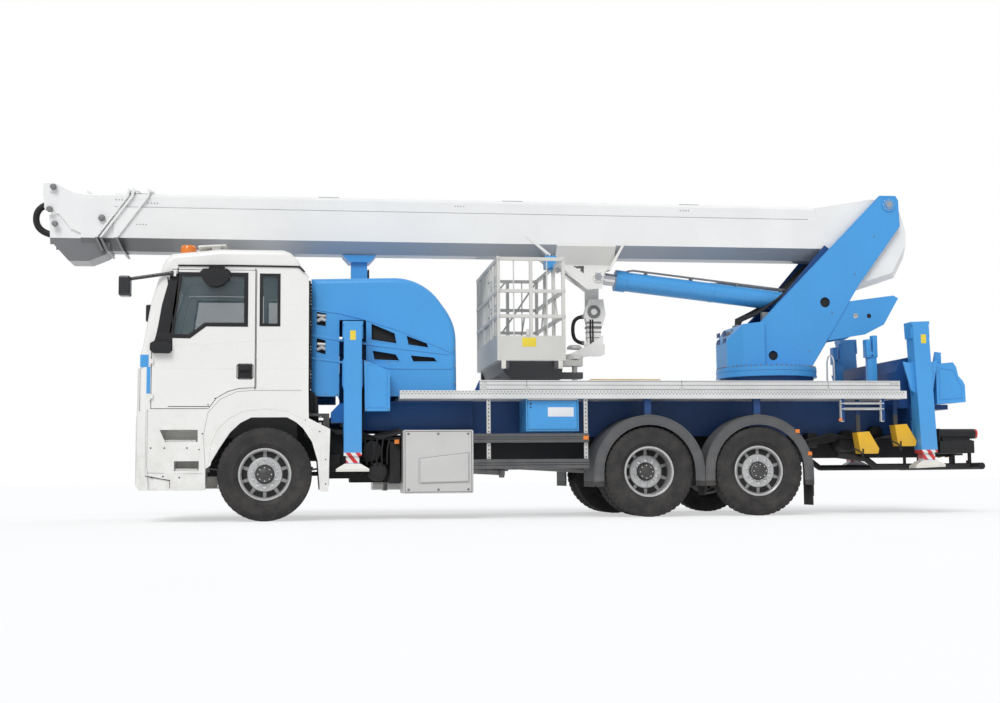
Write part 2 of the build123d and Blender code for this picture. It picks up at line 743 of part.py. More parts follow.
# Outrigger beam with its column, for the left side. The level says which channel it slides in
def outrigger(x, level, high, lean):
    z0 = channel_low(level) + seat_gap
    y_out = -half_width
    y_in = y_out + column_side
    half = column_side / 2
    yc = y_out + half
    cut = half - column_wall
    inner_z = (column_low - 50, high - 40)
    beam = block(x - beam_long / 2, x + beam_long / 2, y_in - 10, housing_half - 10, z0, z0 + beam_high)
    column = block(x - half, x + half, y_out, y_in, column_low, high)
    cap = block(x - half - 15, x + half + 15, y_out, y_in + 10, high - 40, high)
    for side in (-1, 1):
        cap += block(x + side * half, x + side * (half + 15), y_out + 20, y_in + 10, high - 200, high - 39)
        column += prism_y([(x + side * (half - 1), 1500), (x + side * (half + 17), 1560),
                           (x + side * (half + 17), 1840), (x + side * (half - 1), 1870)], y_out + 60, y_in)
    if lean:
        for side, wide in ((-1, 125), (1, 115)):
            column += prism_y([(x + side * (half - 1), 1840), (x + side * (half + wide), 1870),
                               (x + side * (half + wide - 80), 1510), (x + side * (half - 1), 1480)],
                              y_out + 70, y_out + 95)
    upright = leaned(column + cap, x, lean)
    hollow = leaned(block(x - cut, x + cut, yc - cut, yc + cut, *inner_z), x, lean)
    return upright + beam - hollow


def leg(x, high, lean):
    yc = -half_width + column_side / 2
    half = column_side / 2 - column_wall - joint_gap
    guide = column_side / 2 - column_wall - seat_gap
    ankle = column_low - 110
    inner = block(x - half, x + half, yc - half, yc + half, ankle, high - 700)
    inner += block(x - guide, x + guide, yc - guide, yc + guide, high - 760, high - 700)
    foot = prism_x([(yc - foot_half_y, foot_low), (yc + foot_half_y, foot_low),
                    (yc + foot_half_y, foot_low + foot_plate),
                    (yc + half, ankle + 20), (yc - half, ankle + 20),
                    (yc - foot_half_y, foot_low + foot_plate)],
                   x - foot_half_x, x + foot_half_x)
    taper = prism_y([(x - half, ankle + 30), (x + half, ankle + 30),
                     (x + foot_half_x, foot_low + foot_plate),
                     (x + foot_half_x, foot_low), (x - foot_half_x, foot_low),
                     (x - foot_half_x, foot_low + foot_plate)],
                    yc - foot_half_y, yc + foot_half_y)
    return leaned(inner + (foot & taper), x, lean)


# Turret: bearing ring, faceted base, two leaning plates, their cross plates, the pins and the rear fins
def turret():
    body = Pos(turret_x, 0, (ring_low + ring_high) / 2) * Cylinder(ring_radius, ring_high - ring_low)
    plate_outline = [(turret_x + 1475, tower_top), (turret_x + 1690, tower_top),
                     (turret_x + 1725, tower_top - 60),
                     (turret_x + 1735, tower_top - 400), (turret_x + 1170, ring_high + 1100),
                     (turret_x + 480, ring_high), (turret_x - 180, ring_high),
                     (turret_x - 180, ring_high + 580)]
    fin_outline = [(turret_x + 800, ring_high + 830), (turret_x + 1620, ring_high + 940),
                   (turret_x + 1685, ring_high + 905), (turret_x + 1480, ring_high + 560),
                   (turret_x + 1220, ring_high + 430), (turret_x + 720, ring_high + 350)]
    base_side = [(turret_x - 590, ring_high), (turret_x - 590, ring_high + 360),
                 (turret_x - 430, ring_high + 545),
                 (turret_x - 150, ring_high + 580), (turret_x - 150, ring_high)]
    outer = tower_half + tower_plate
    base_plan = [(turret_x - 590, -outer + 120), (turret_x - 430, -outer - 60),
                 (turret_x - 150, -outer - 60),
                 (turret_x - 150, outer + 60), (turret_x - 430, outer + 60), (turret_x - 590, outer - 120)]
    base = prism_y(base_side, -outer - 60, outer + 60) & prism_z(base_plan, ring_high, ring_high + 600)
    body += base
    for side in (-1, 1):
        body += prism_y(plate_outline, side * tower_half, side * outer)
        body += prism_y(fin_outline, side * (tower_half + 5), side * (tower_half + 30))
        body -= rod_y(turret_x - 20, ring_high + 150, side * (outer - 25), side * (outer + 5), 62)
    cross_foot, cross_head = turret_x + 450, turret_x + 900
    body += prism_y([(cross_foot, ring_high), (cross_foot + 50, ring_high),
                     (cross_head + 50, ring_high + 710),
                     (cross_head, ring_high + 710)], -tower_half - 1, tower_half + 1)
    reach = outer + 25
    body += rod_y(boom_pin_x, boom_pin_z, -reach, reach, boom_pin_radius)
    body += rod_y(lift_foot[0], lift_foot[1], -outer, outer, boom_pin_radius)
    for side in (-1, 1):
        body += rod_y(boom_pin_x, boom_pin_z, side * (outer - 1), side * (outer + 12), 90)
        body -= rod_y(lift_foot[0], lift_foot[1], side * (outer - 20), side * (outer + 5), 66)
    return body


# Straight bar of the boom with its keel, or the same bar grown by a clearance
def boom_bar(grow=0.0):
    half, keel = boom_half + grow, boom_keel + grow
    low, side_low, high = boom_low - grow, boom_side_low - grow, boom_high + grow
    upper = half - seam_step
    section = [(-keel, low), (keel, low), (half, side_low), (half, boom_seam),
               (upper, boom_seam + seam_step),
               (upper, high - boom_bevel), (upper - boom_bevel, high), (-upper + boom_bevel, high),
               (-upper, high - boom_bevel), (-upper, boom_seam + seam_step), (-half, boom_seam),
               (-half, side_low)]
    return prism_x(section, boom_front - grow, boom_back)


# Boom: the bar with a deep root plate at the pivot, slotted for the lift cylinder
def boom():
    tail = [(turret_x + 620, boom_high - 20), (turret_x + 1370, boom_pin_z + 80),
            (turret_x + 1720, boom_pin_z + 80),
            (turret_x + 1850, boom_pin_z - 340), (turret_x + 1830, boom_pin_z - 680),
            (turret_x + 1690, boom_pin_z - 940), (turret_x + 1110, boom_pin_z - 1130),
            (turret_x + 920, boom_pin_z - 1000), (turret_x + 670, boom_side_low + 20)]
    body = boom_bar()
    root = prism_y(tail, -boom_half, boom_half)
    below = [e for e in root.edges() if abs(abs(e.center().Y) - boom_half) < 1
             and e.center().Z < boom_pin_z - 700]
    body += chamfer(below, 70)
    slot_half = barrel_radius + 40
    body -= block(boom_back - 90, turret_x + 2000, -slot_half, slot_half, boom_low - 600, boom_low + 300)
    body -= rod_y(boom_pin_x, boom_pin_z, -boom_half - 5, boom_half + 5, boom_pin_radius + seat_gap)
    return body


# Lift bracket under the boom: two plates round the rod's eye, with flares up the boom's sloping lower sides.
# The front flange is narrow where the turning basket passes
def lift_bracket():
    x, z = lift_eye
    top = boom_low + 20
    gap = rod_radius + 2 * joint_gap
    outer = gap + bracket_plate
    outline = [(x - 610, top), (x + 300, top), (x + 150, z + 110), (x + 90, z + 60), (x + 50, z - 150),
               (x - 140, z - 165), (x - 400, z + 60), (x - 540, z + 150)]
    hole = [(x - 330, z + 140), (x - 175, z + 142), (x - 178, z + 35)]
    front_flange = [(x - 970, z + 480), (x - 930, z + 490), (x - 440, z + 100), (x - 470, z + 75)]
    rear_flange = [(x + 100, z + 65), (x + 290, z + 410), (x + 325, z + 410), (x + 135, z + 65)]
    flare = boom_half + 6
    level = basket_top + 3 * joint_gap
    parts = []
    for side in (-1, 1):
        plate = prism_y(outline, side * gap, side * outer)
        plate -= prism_y(hole, side * (gap - 5), side * (outer + 5))
        plate += rod_y(x, z, side * outer, side * (outer + 17), 70)
        plate += prism_x([(side * outer, z + 150), (side * flare, boom_side_low - 15),
                          (side * flare, boom_side_low + 30), (side * outer, boom_low + 20)], x - 560, x
                         + 200)
        flange = prism_y(front_flange, side * (outer - 1), side * flare)
        plate += flange - block(x - 600, x, side * bracket_low_half, side * 400, z, level)
        plate += prism_y(rear_flange, side * (outer - 1), side * flare)
        parts.append(plate - boom_bar(seat_gap))
    return parts


def along_lift(s):
    (fx, fz), (ex, ez) = lift_foot, lift_eye
    length = math.hypot(ex - fx, ez - fz)
    return (fx + (ex - fx) * s / length, 0, fz + (ez - fz) * s / length)


def lift_barrel():
    fx, fz = lift_foot
    barrel = rod(along_lift(100), along_lift(barrel_length), barrel_radius)
    barrel += rod(along_lift(barrel_length - 90), along_lift(barrel_length - 1), barrel_radius + 8)
    barrel += rod_y(fx, fz, -120, 120, 140)
    barrel -= rod_y(fx, fz, -130, 130, boom_pin_radius + seat_gap)
    barrel -= rod(along_lift(280), along_lift(barrel_length + 10), rod_radius + 0.5)
    return barrel


def lift_rod():
    ex, ez = lift_eye
    length = math.hypot(ex - lift_foot[0], ez - lift_foot[1])
    stem = rod(along_lift(300), along_lift(length - 60), rod_radius)
    return stem + rod_y(ex, ez, -rod_radius + 5, rod_radius - 5, eye_radius) - rod_y(ex, ez, -90, 90,
                                                                                     boom_pin_radius)


# Boom head: the inner section's end, its keel, the side plates with their pins, and the slanted collars
def boom_head():
    end = boom_front - seat_gap
    head = prism_x([(-boom_keel, boom_side_low - 140), (boom_keel, boom_side_low - 140),
                    (boom_half - 25, boom_side_low),
                    (boom_half - 25, boom_high - 30), (-boom_half + 25, boom_high - 30),
                    (-boom_half + 25, boom_side_low)],
                   -2240, end)
    head += block(head_face, -2239, -boom_half + 70, boom_half - 70, boom_side_low - 20, boom_high - 60)
    head += prism_y([(-2570.0, boom_low + 70), (-2380.0, boom_low - 140), (-2150.0, boom_low - 140),
                     (-1960.0, boom_low - 60), (-1900.0, boom_low - 10), (-1900.0, boom_side_low),
                     (-2570.0, boom_side_low)], -boom_half + 70, boom_half - 70)
    for side in (-1, 1):
        y0, y1 = side * (boom_half - 70), side * (boom_half - 45)
        head += prism_y([(-2690.0, boom_high + 110), (-2560.0, boom_high + 110), (-2300.0, boom_high - 15),
                         (-2239.0, boom_high - 15), (-2239.0, boom_side_low + 60),
                         (-2360.0, boom_side_low + 110),
                         (-2500.0, boom_side_low + 290), (-2665.0, boom_side_low + 330),
                         (-2695.0, boom_high - 20)],
                        y0, y1)
        head += prism_y([(-2620.0, boom_side_low + 280), (-2240.0, boom_side_low + 280),
                         (-2240.0, boom_low + 80),
                         (-2600.0, boom_low + 60)], side * (boom_half - 95), y0)
        for x, z in ((-2590.0, boom_high + 40), (-2635.0, boom_high - 180)):
            head += rod_y(x, z, side * (boom_half - 100), side * (boom_half - 25), 38)
    for dx in collar_places:
        head += collar(dx)
    return head - boom_bar(seat_gap)


def collar(dx):
    top, mid, low = boom_high + collar_grow, boom_side_low, boom_low - collar_grow
    bend = boom_high - 40
    outline = [(-1640 + dx, top), (-1612 + dx, top), (-1622 + dx, bend), (-1985 + dx, mid),
               (-1905 + dx, low),
               (-1935 + dx, low), (-2015 + dx, mid), (-1650 + dx, bend)]
    band = prism_y(outline, -boom_half - collar_grow, boom_half + collar_grow)
    lug = [(-1640 + dx, top - 5), (-1560 + dx, top - 5), (-1625 + dx, top + 35), (-1640 + dx, top + 35)]
    for y in (-boom_half + 40, boom_half - 40):
        band += prism_y(lug, y - 15, y + 15)
    return band


# Jib folded along the far side of the boom, with the hanger that carries the basket arm
def jib():
    rear = level_pin[0] + 160
    beam = block(-2300, rear, jib_y - jib_half, jib_y + jib_half, jib_low, jib_high)
    beam += block(-2450, -2245, boom_half - 45 + seat_gap, jib_y + jib_half, jib_low + 60, jib_high - 40)
    for x in (-1400.0, 400.0, 2200.0):
        beam += block(x, x + 60, jib_y - jib_half - 12, jib_y + jib_half + 12, jib_low - 12, jib_high + 12)
    beam -= boom_bar(seat_gap)
    px, pz = level_pin
    low = boom_low - 110
    upper = boom_half + 10
    lower = arm_outer + joint_gap
    x0, x1 = px - arm_half_long, px + arm_half_long
    beam += block(x0, x1, upper, upper + 35, low, jib_low + 100)
    beam += block(x0, x1, upper + 30, jib_y - jib_half + 10, jib_low + 10, jib_low + 100)
    beam += block(x0, x1, lower, upper + 35, low, low + 60)
    beam += block(x0, x1, lower, lower + 35, pz - 90, low + 60)
    beam += rod_y(px, pz, arm_inner - 12, lower + 5, level_pin_radius)
    return beam


# Arm from the levelling pin down to the rotator: knuckle plate, column, foot and the rotator's pin
def basket_arm():
    px, pz = level_pin
    foot_z = basket_low + 400
    half = arm_half_long
    column = block(px - half, px + half, arm_inner, arm_outer, foot_z, pz - 20)
    column += prism_y([(px - 85, pz - 170), (px + 115, pz - 170), (px + 155, pz - 30), (px + 125, pz + 165),
                       (px - 60, pz + 165), (px - 125, pz - 30)], arm_inner, arm_outer)
    column += rod_y(px, pz, arm_inner - 7, arm_inner + 1, 80)
    foot = prism_y([(px + half, foot_z - 30), (px + half, foot_z + 100), (px - half, foot_z + 100),
                    (yaw_x - 60, foot_z - 20), (yaw_x - 60, foot_z - 80), (px - 60, foot_z - 30)], -80,
                   arm_outer)
    foot += prism_y([(px - half, foot_z + 99), (px + half, foot_z + 99), (px + half, foot_z + 220)], 20,
                    arm_inner + 1)
    bearing = Pos(yaw_x, 0, foot_z - 60) * Cylinder(110, 60)
    pin = Pos(yaw_x, 0, basket_low + 190) * Cylinder(yaw_pin_radius, 300)
    clamps = []
    for z in arm_clamps():
        clamps.append(block(px - half - clamp_depth, px - half + 1, hose_side() - 32, hose_side() + 32, z
                            - 25, z + 25))
    return fused(column, foot, bearing, pin, *clamps) - rod_y(px, pz, arm_inner - 20, arm_outer + 20,
                                                             level_pin_radius + seat_gap)


def hose_side():
    return (arm_inner + arm_outer) / 2


def arm_clamps():
    return (level_pin[1] - 60, level_pin[1] - 400)


# Hose in a bow on the front of the arm, from its upper clamp to its lower one
def arm_hose():
    y, start, bow = hose_side(), level_pin[0] - arm_half_long - clamp_depth - seat_gap, level_pin[0] - 270
    high, low = arm_clamps()
    points = [(start, y, high), (start - 60, y, high), (bow, y, high - 70), (bow, y, low + 70),
              (start - 60, y, low), (start, y, low)]
    path = FilletPolyline(*points, radius=60)
    return sweep(Plane(origin=path @ 0, z_dir=path % 0) * Circle(arm_hose_radius), path=path)


# Basket: floor on a dark tray, solid toe boards, square-tube rails, and its own half of the rotator
def basket():
    x0, x1, h, tube = basket_front, basket_rear, basket_half, basket_tube
    tray = prism_x([(-h + 60, basket_floor), (-h + 200, basket_low), (h - 200, basket_low),
                    (h - 60, basket_floor)],
                   x0 + 60, x1 - 20)
    tray &= prism_y([(x0 + 60, basket_floor), (x0 + 100, basket_low + 80), (x0 + 190, basket_low),
                     (x1 - 20, basket_low),
                     (x1 - 20, basket_floor)], -h, h)
    body = tray + block(x0, x1, -h, h, basket_floor, basket_toe)
    body -= block(x0 + 25, x1 - 25, -h + 25, h - 25, basket_floor + 30, basket_toe + 1)
    for z in (basket_top - tube, basket_top - 430, basket_top - 735):
        rails = block(x0, x1, -h, h, z, z + tube)
        rails -= block(x0 + tube, x1 - tube, -h + tube, h - tube, z - 1, z + tube + 1)
        body += rails
    for x in (x0, x1 - tube):
        for y in (-h, -h / 3, h / 3 - tube, h - tube):
            body += block(x, x + tube, y, y + tube, basket_toe, basket_top)
    for y in (-h, h - tube):
        body += block((x0 + x1 - tube) / 2, (x0 + x1 + tube) / 2, y, y + tube, basket_toe, basket_top)
        for x in (x0 + 60, x1 - 140):
            body += block(x, x + 80, y, y + tube, basket_floor - 100, basket_floor + 1)
    mid = basket_low + 190
    lug = block(x1 - 30, yaw_x + 90, -90, 90, mid - 130, mid - 50)
    lug += block(x1 - 30, yaw_x + 90, -90, 90, mid + 30, mid + 110)
    lug += block(x1 - 30, x1 + 40, -160, 160, mid - 170, mid + 130)
    return body + lug - Pos(yaw_x, 0, mid) * Cylinder(yaw_pin_radius + seat_gap, 600)


# Hose loop in front of the boom head
def head_hose():
    start = head_face - seat_gap
    bend = -2650.0
    front = front_end + hose_radius
    points = [(start, 0, boom_high - 80), (bend, 0, boom_high - 80), (front, 0, boom_high - 180),
              (front, 0, boom_side_low + 170), (bend, 0, boom_side_low + 60), (start, 0, boom_side_low + 60)]
    path = FilletPolyline(*points, radius=70)
    return sweep(Plane(origin=path @ 0, z_dir=path % 0) * Circle(hose_radius), path=path)


# Boxes, the stowed ladder, guards, mudguards and rear fittings
def side_boxes():
    silver = block(1580, 2395, -half_width, -half_width + 550, 300, 1035)
    silver = fillet(silver.edges().filter_by(Axis.Y), 18)
    tank = block(1320, 2300, half_width - 550, half_width, 330, 960)
    tank = fillet(tank.edges().filter_by(Axis.X), 70)
    return [silver, tank]


def ladder():
    x0, x1 = turret_x + 505, turret_x + 1060
    y0, y1 = -half_width + 20, -half_width + 60
    frame = block(x0, x0 + 45, y0, y1, 1120, deck_low - seat_gap) + block(x1 - 45, x1, y0, y1, 1120,
                                                                          deck_low - seat_gap)
    for z in (1262.0, 1328.0):
        frame += block(x0, x1, y0, y1, z, z + 30)
    return frame


def box_brackets(frame):
    for side in (-1, 1):
        for x in (1700, 2200):
            frame += block(x - 30, x + 30, side * rail_half, side * (half_width - 550 - seat_gap), rail_top
                           - 200,
                           rail_top - 140)
    return frame


def side_guard():
    x0, x1 = 2400.0, wheelbase - mudguard_radius - 60
    body = block(x0, x1, -half_width, -half_width + 30, 885, 990)
    body += block(x0, x1, -half_width, -half_width + 30, 580, 690)
    for x in (2580, x1 - 30):
        body += block(x - 25, x + 25, -half_width + 30, -half_width + 60, 560, deck_low - seat_gap)
    return body


def mudguard_outline(x, inset):
    r = mudguard_radius - inset
    y = -half_width
    return Curve() + [
        Polyline([(x + r, y, tyre_radius), (x + r, y, mudguard_low), (x - r, y, mudguard_low),
                  (x - r, y, tyre_radius)]),
        ThreePointArc((x - r, y, tyre_radius), (x, y, tyre_radius + r), (x + r, y, tyre_radius))]


# An arch over a wheel with a lip at its outer edge and a bracket up to the deck
def mudguard(x, depth):
    outer = make_face(mudguard_outline(x, 0))
    inner = make_face(mudguard_outline(x, 15))
    lip_hole = make_face(mudguard_outline(x, 75))
    arch = extrude(outer, amount=depth, dir=(0, 1, 0)) - extrude(inner, amount=depth, dir=(0, 1, 0))
    arch += extrude(outer, amount=15, dir=(0, 1, 0)) - extrude(lip_hole, amount=15, dir=(0, 1, 0))
    top = tyre_radius + mudguard_radius
    arch += block(x - 40, x + 40, -half_width + 60, -half_width + 120, top - 10, deck_low - seat_gap)
    return arch


def rear_mudguard():
    x = tag_x + mudguard_radius
    flap = block(x - 14, x - 1, -half_width + 15, -half_width + 330, 230, mudguard_low + 60)
    return mudguard(tag_x, tyre_width + 25) + flap


def control_box():
    return block(3030, 3660, -half_width + 60, -sub_half - 60, 1020, deck_low - seat_gap)


# Covers over the outrigger gear: one behind each front column and one at each rear corner
def front_cover():
    x0 = front_outrigger_x + column_side / 2 + 27.5
    x1 = x0 + 300
    y0 = -half_width + 25
    body = prism_y([(x0 + 12, 1257), (x1, 1257), (x1, 1722), (x0, 1849)], y0, -cowl_half - 10)
    return body + block(front_outrigger_x + housing_half_long + seat_gap, x1, -cowl_half - 11,
                        -housing_half + 130, 1262,
                        1342)


def rear_cover():
    x = cover_front
    body = prism_y([(x, cover_low), (x + 375, cover_low + 26), (x + 373, cover_low + 235),
                    (x + 345, cover_low + 290),
                    (x + 290, cover_low + 350), (x + 266, cover_low + 460), (x + 225, cover_low + 520),
                    (x, cover_low + 500)],
                   -cover_outer, -cover_inner)
    lug = prism_y([(x + 20, cover_low + 500), (x + 55, cover_low + 660), (x + 130, cover_low + 650),
                   (x + 130, cover_low + 505)], -cover_outer + 120, -cover_outer + 150)
    return body + lug


def wheel_chocks():
    return [prism_y([(x + dx, z + dz) for dx, dz in chock_outline], chock_out, chock_out + chock_width)
            for x, z in chock_places]


def chock_racks():
    y = chock_out + chock_width + seat_gap
    return [block(x + 60, x + 110, y, y + 25, z + 20, deck_low - seat_gap) for x, z in chock_places]


# Rear underrun guard: a bent tube along each side, a cross tube, the lamp tubes and the tow coupling
def rear_underrun():
    x_end = rear_outrigger_x + 725
    y = guard_y
    path = FilletPolyline((turret_x + 560, -y, guard_z + 145), (turret_x + 920, -y, guard_z + 100),
                          (turret_x + 1050, -y, guard_z), (x_end - 55 - seat_gap, -y, guard_z), radius=60)
    side = sweep(Plane(origin=path @ 0, z_dir=path % 0) * Circle(guard_radius), path=path)
    bar = rod_y(x_end, guard_z, -half_width + 60, half_width - 60, guard_radius + 4)
    hanger = turret_x + 1900
    for s in (-1, 1):
        bar += block(x_end - 60, x_end - 20, s * (rail_half + seat_gap), s * 520, guard_z, 960)
        bar += block(hanger, x_end - 20, s * (rail_half + seat_gap), s * 520, 735, 960)
        bar += block(x_end - 55, x_end - 25, s * (y - 20), s * (y + 20), guard_z, 890)
        bar += block(hanger, x_end - 20, s * 519, s * (half_width - 200), 735, 890)
        bar += rod((hanger - 50, s * tail_y, tail_z), (tail_x, s * tail_y, tail_z), tail_radius)
        bar += block(hanger, x_end - 60, s * (tail_y - 40), s * (tail_y + 40), 880, tail_z)
    bar += block(x_end - 60, rear_end, -90, 90, tow_z - 70, tow_z + 70)
    bar += block(frame_rear + seat_gap, x_end - 20, -rail_half - 1, rail_half + 1, tow_z - 90, tow_z + 90)
    bar -= Pos(tow_bore_x, 0, tow_z) * Cylinder(tow_bore_radius, 200)
    return [bar, side, mirrored(side)]


write("chassis_frame", box_brackets(chassis_frame()))
write("engine_block", engine_block())
write("front_axle", front_axle())
write("rear_axles", *rear_axles())
write("subframe", subframe(), front_housing())
write("deck", deck())
write("cab_shell", cab_shell())
write("cab_front", *cab_front(), grille(), roof_flap())
write("cab_glass", *cab_glass())
write("cab_interior", *cab_interior())
write("front_fenders", *both(front_fender()))
write("beacons", *beacons())
write("lamps", *lamps())
write("cowl", cowl())
write("boom_rest", boom_rest())
write("side_boxes", *side_boxes(), ladder())
write("side_guards", *both(side_guard()), *chock_racks())
write("rear_mudguards", *both(mudguard(wheelbase, 2 * twin_tyre_width + 40)), *both(rear_mudguard()))
write("rear_covers", *both(front_cover()), *both(rear_cover()))
write("control_box", control_box())
write("wheel_chocks", *wheel_chocks())
write("rear_underrun", *rear_underrun())

# Columns: place, station, width, disc and hub of the single wheels
single_wheels = (("front", 0.0, tyre_width, -60.0, 95.0), ("tag", tag_x, tyre_width, -60.0, 95.0))
# Columns: place, station, height and lean of the outrigger columns
outriggers = (("front", front_outrigger_x, column_high_front, 0.0),
              ("rear", rear_outrigger_x, column_high_rear, rear_lean))

for side, name in ((-1, "left"), (1, "right")):
    flip = (lambda s: s) if side < 0 else mirrored
    write(f"door_{name}", flip(door()), *[flip(piece) for piece in mirrors()])
    write(f"door_glass_{name}", flip(door_glass()))
    write(f"knuckle_{name}", flip(knuckle()))
    for place, x, width, disc_y, hub_out in single_wheels:
        y = half_width - width / 2
        write(f"tyre_{place}_{name}", at_wheel(tyre(width), x, y, side))
        write(f"rim_{place}_{name}", at_wheel(rim(width, disc_y, hub_out, 12.0), x, y, side))
    y_out = half_width - twin_tyre_width / 2
    y_in = y_out - twin_tyre_width - twin_space
    twin = tyre(twin_tyre_width)
    write(f"tyre_drive_{name}", at_wheel(twin, wheelbase, y_out, side),
          at_wheel(twin, wheelbase, y_in, side))
    write(f"rim_drive_{name}", at_wheel(rim(twin_tyre_width, 90.0, 60.0, 12.0), wheelbase, y_out, side),
          at_wheel(rim(twin_tyre_width, -108.0, 71.7, -1.0), wheelbase, y_in, side))
    level = 1 if side < 0 else 0
    for place, x, high, lean in outriggers:
        write(f"outrigger_{place}_{name}", flip(outrigger(x, level, high, lean)))
        write(f"leg_{place}_{name}", flip(leg(x, high, lean)))

write("turret", turret())
write("boom", boom())
write("boom_head", boom_head())
write("lift_bracket", *lift_bracket())
write("jib", jib())
write("lift_barrel", lift_barrel())
write("lift_rod", lift_rod())
write("basket_arm", basket_arm())
write("arm_hose", arm_hose())
write("basket", basket())
write("head_hose", head_hose())
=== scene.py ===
import bpy
import bmesh
from math import cos, hypot, pi, radians, sin, sqrt, tan
from mathutils import Matrix, Vector


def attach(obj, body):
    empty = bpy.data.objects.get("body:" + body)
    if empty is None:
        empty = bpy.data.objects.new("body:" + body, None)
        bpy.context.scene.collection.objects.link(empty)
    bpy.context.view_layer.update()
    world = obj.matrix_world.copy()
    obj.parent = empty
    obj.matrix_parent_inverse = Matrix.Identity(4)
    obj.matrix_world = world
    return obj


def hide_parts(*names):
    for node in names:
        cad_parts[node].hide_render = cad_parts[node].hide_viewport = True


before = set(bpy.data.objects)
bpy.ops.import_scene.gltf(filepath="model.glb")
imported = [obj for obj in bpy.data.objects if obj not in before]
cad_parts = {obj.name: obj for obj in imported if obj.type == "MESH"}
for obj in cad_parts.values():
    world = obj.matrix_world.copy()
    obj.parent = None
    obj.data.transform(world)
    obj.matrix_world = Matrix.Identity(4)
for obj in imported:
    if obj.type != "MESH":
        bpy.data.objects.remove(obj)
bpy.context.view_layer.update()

# Metres from the front axle back to the frame's origin
SHIFT = 3.075
# Places that several pieces share, in millimetres, as P takes them
AXLE_Z = 535
DRIVE_X, TAG_X = 4500, 5850
SLEW_X = 6380
CAB_SIDE = 1219.5
BODY_SIDE = 1249
SEAM_DEPTHS = (BODY_SIDE + 0.2, BODY_SIDE + 2)
COLUMN_SIDE = 1250
RAIL_SIDE = 1199.5
RAIL_JOINTS = (3040, 4920, 6750)
BOOM_PIN = (7970, 3980)
LIFT_FOOT = (7070, 2690)
LIFT_EYE = (4144, 3020)
# Slope of the rear columns
COLUMN_LEAN = tan(radians(2.4))
# The two sides, each with its sign and name
SIDES = ((-1, "left"), (1, "right"))


# Points are written as stations behind the front axle in millimetres, like the source of the solids
def P(x, y, z):
    return Vector((x / 1000 - SHIFT, y / 1000, z / 1000))


# Points on a circle in a plane
def circle(u, v, r, n=12, start=0):
    return [(u + r * cos(t), v + r * sin(t)) for t in (2 * pi * (k + start) / n for k in range(n))]


# A row of places along X at one height
def row(x0, x1, count, z):
    return [(x0 + (x1 - x0) * i / (count - 1), z) for i in range(count)]


# Materials: an input is given as a number, a colour or the socket that feeds it
def tree(name):
    m = bpy.data.materials.new(name)
    m.use_nodes = True
    nt = m.node_tree
    return m, nt, nt.nodes["Principled BSDF"]


def feed(nt, socket, value):
    if isinstance(value, bpy.types.NodeSocket):
        nt.links.new(value, socket)
    else:
        socket.default_value = (*value, 1) if socket.type == "RGBA" else value


def node(nt, kind, inputs, out=0, **settings):
    n = nt.nodes.new("ShaderNode" + kind)
    for key, value in settings.items():
        setattr(n, key, value)
    for key, value in inputs.items():
        feed(nt, n.inputs[key], value)
    return n.outputs[out]


def outputs(nt, kind):
    return nt.nodes.new("ShaderNode" + kind).outputs


def calc(nt, op, *values, clamp=False):
    return node(nt, "Math", dict(enumerate(values)), operation=op, use_clamp=clamp)


def mix(nt, fac, a, b):
    return node(nt, "Mix", {0: fac, 6: a, 7: b}, 2, data_type="RGBA")


def noise(nt, coord, scale, detail=3.0, rough=0.5, stretch=None):
    if stretch:
        coord = node(nt, "Mapping", {"Scale": stretch, "Vector": coord})
    return node(nt, "TexNoise", {"Scale": scale, "Detail": detail, "Roughness": rough, "Vector": coord})


def ramp(nt, value, lo, hi, a=0.0, b=1.0):
    return node(nt, "MapRange", {"From Min": lo, "From Max": hi, "To Min": a, "To Max": b, "Value": value})


def bump(nt, height, strength, distance):
    return node(nt, "Bump", {"Strength": strength, "Distance": distance, "Height": height})


# Mask of a box given in stations: each of its three pairs may be None for no limit
def inside(nt, axes, box):
    result = None
    for i, pair in enumerate(box):
        if pair is None:
            continue
        lo, hi = (v / 1000 - (SHIFT if i == 0 else 0) for v in pair)
        part = calc(nt, "COMPARE", axes[i], (lo + hi) / 2, (hi - lo) / 2)
        result = part if result is None else calc(nt, "MULTIPLY", result, part)
    return result


# One colour, or two that fade from one station to another
def faded(nt, axes, color, far=None, x0=0, x1=0):
    if far is None:
        return color
    return mix(nt, ramp(nt, axes[0], x0 / 1000 - SHIFT, x1 / 1000 - SHIFT), color, far)


def fill(nt, shader, inputs):
    for key, value in inputs.items():
        feed(nt, shader.inputs[key], value)


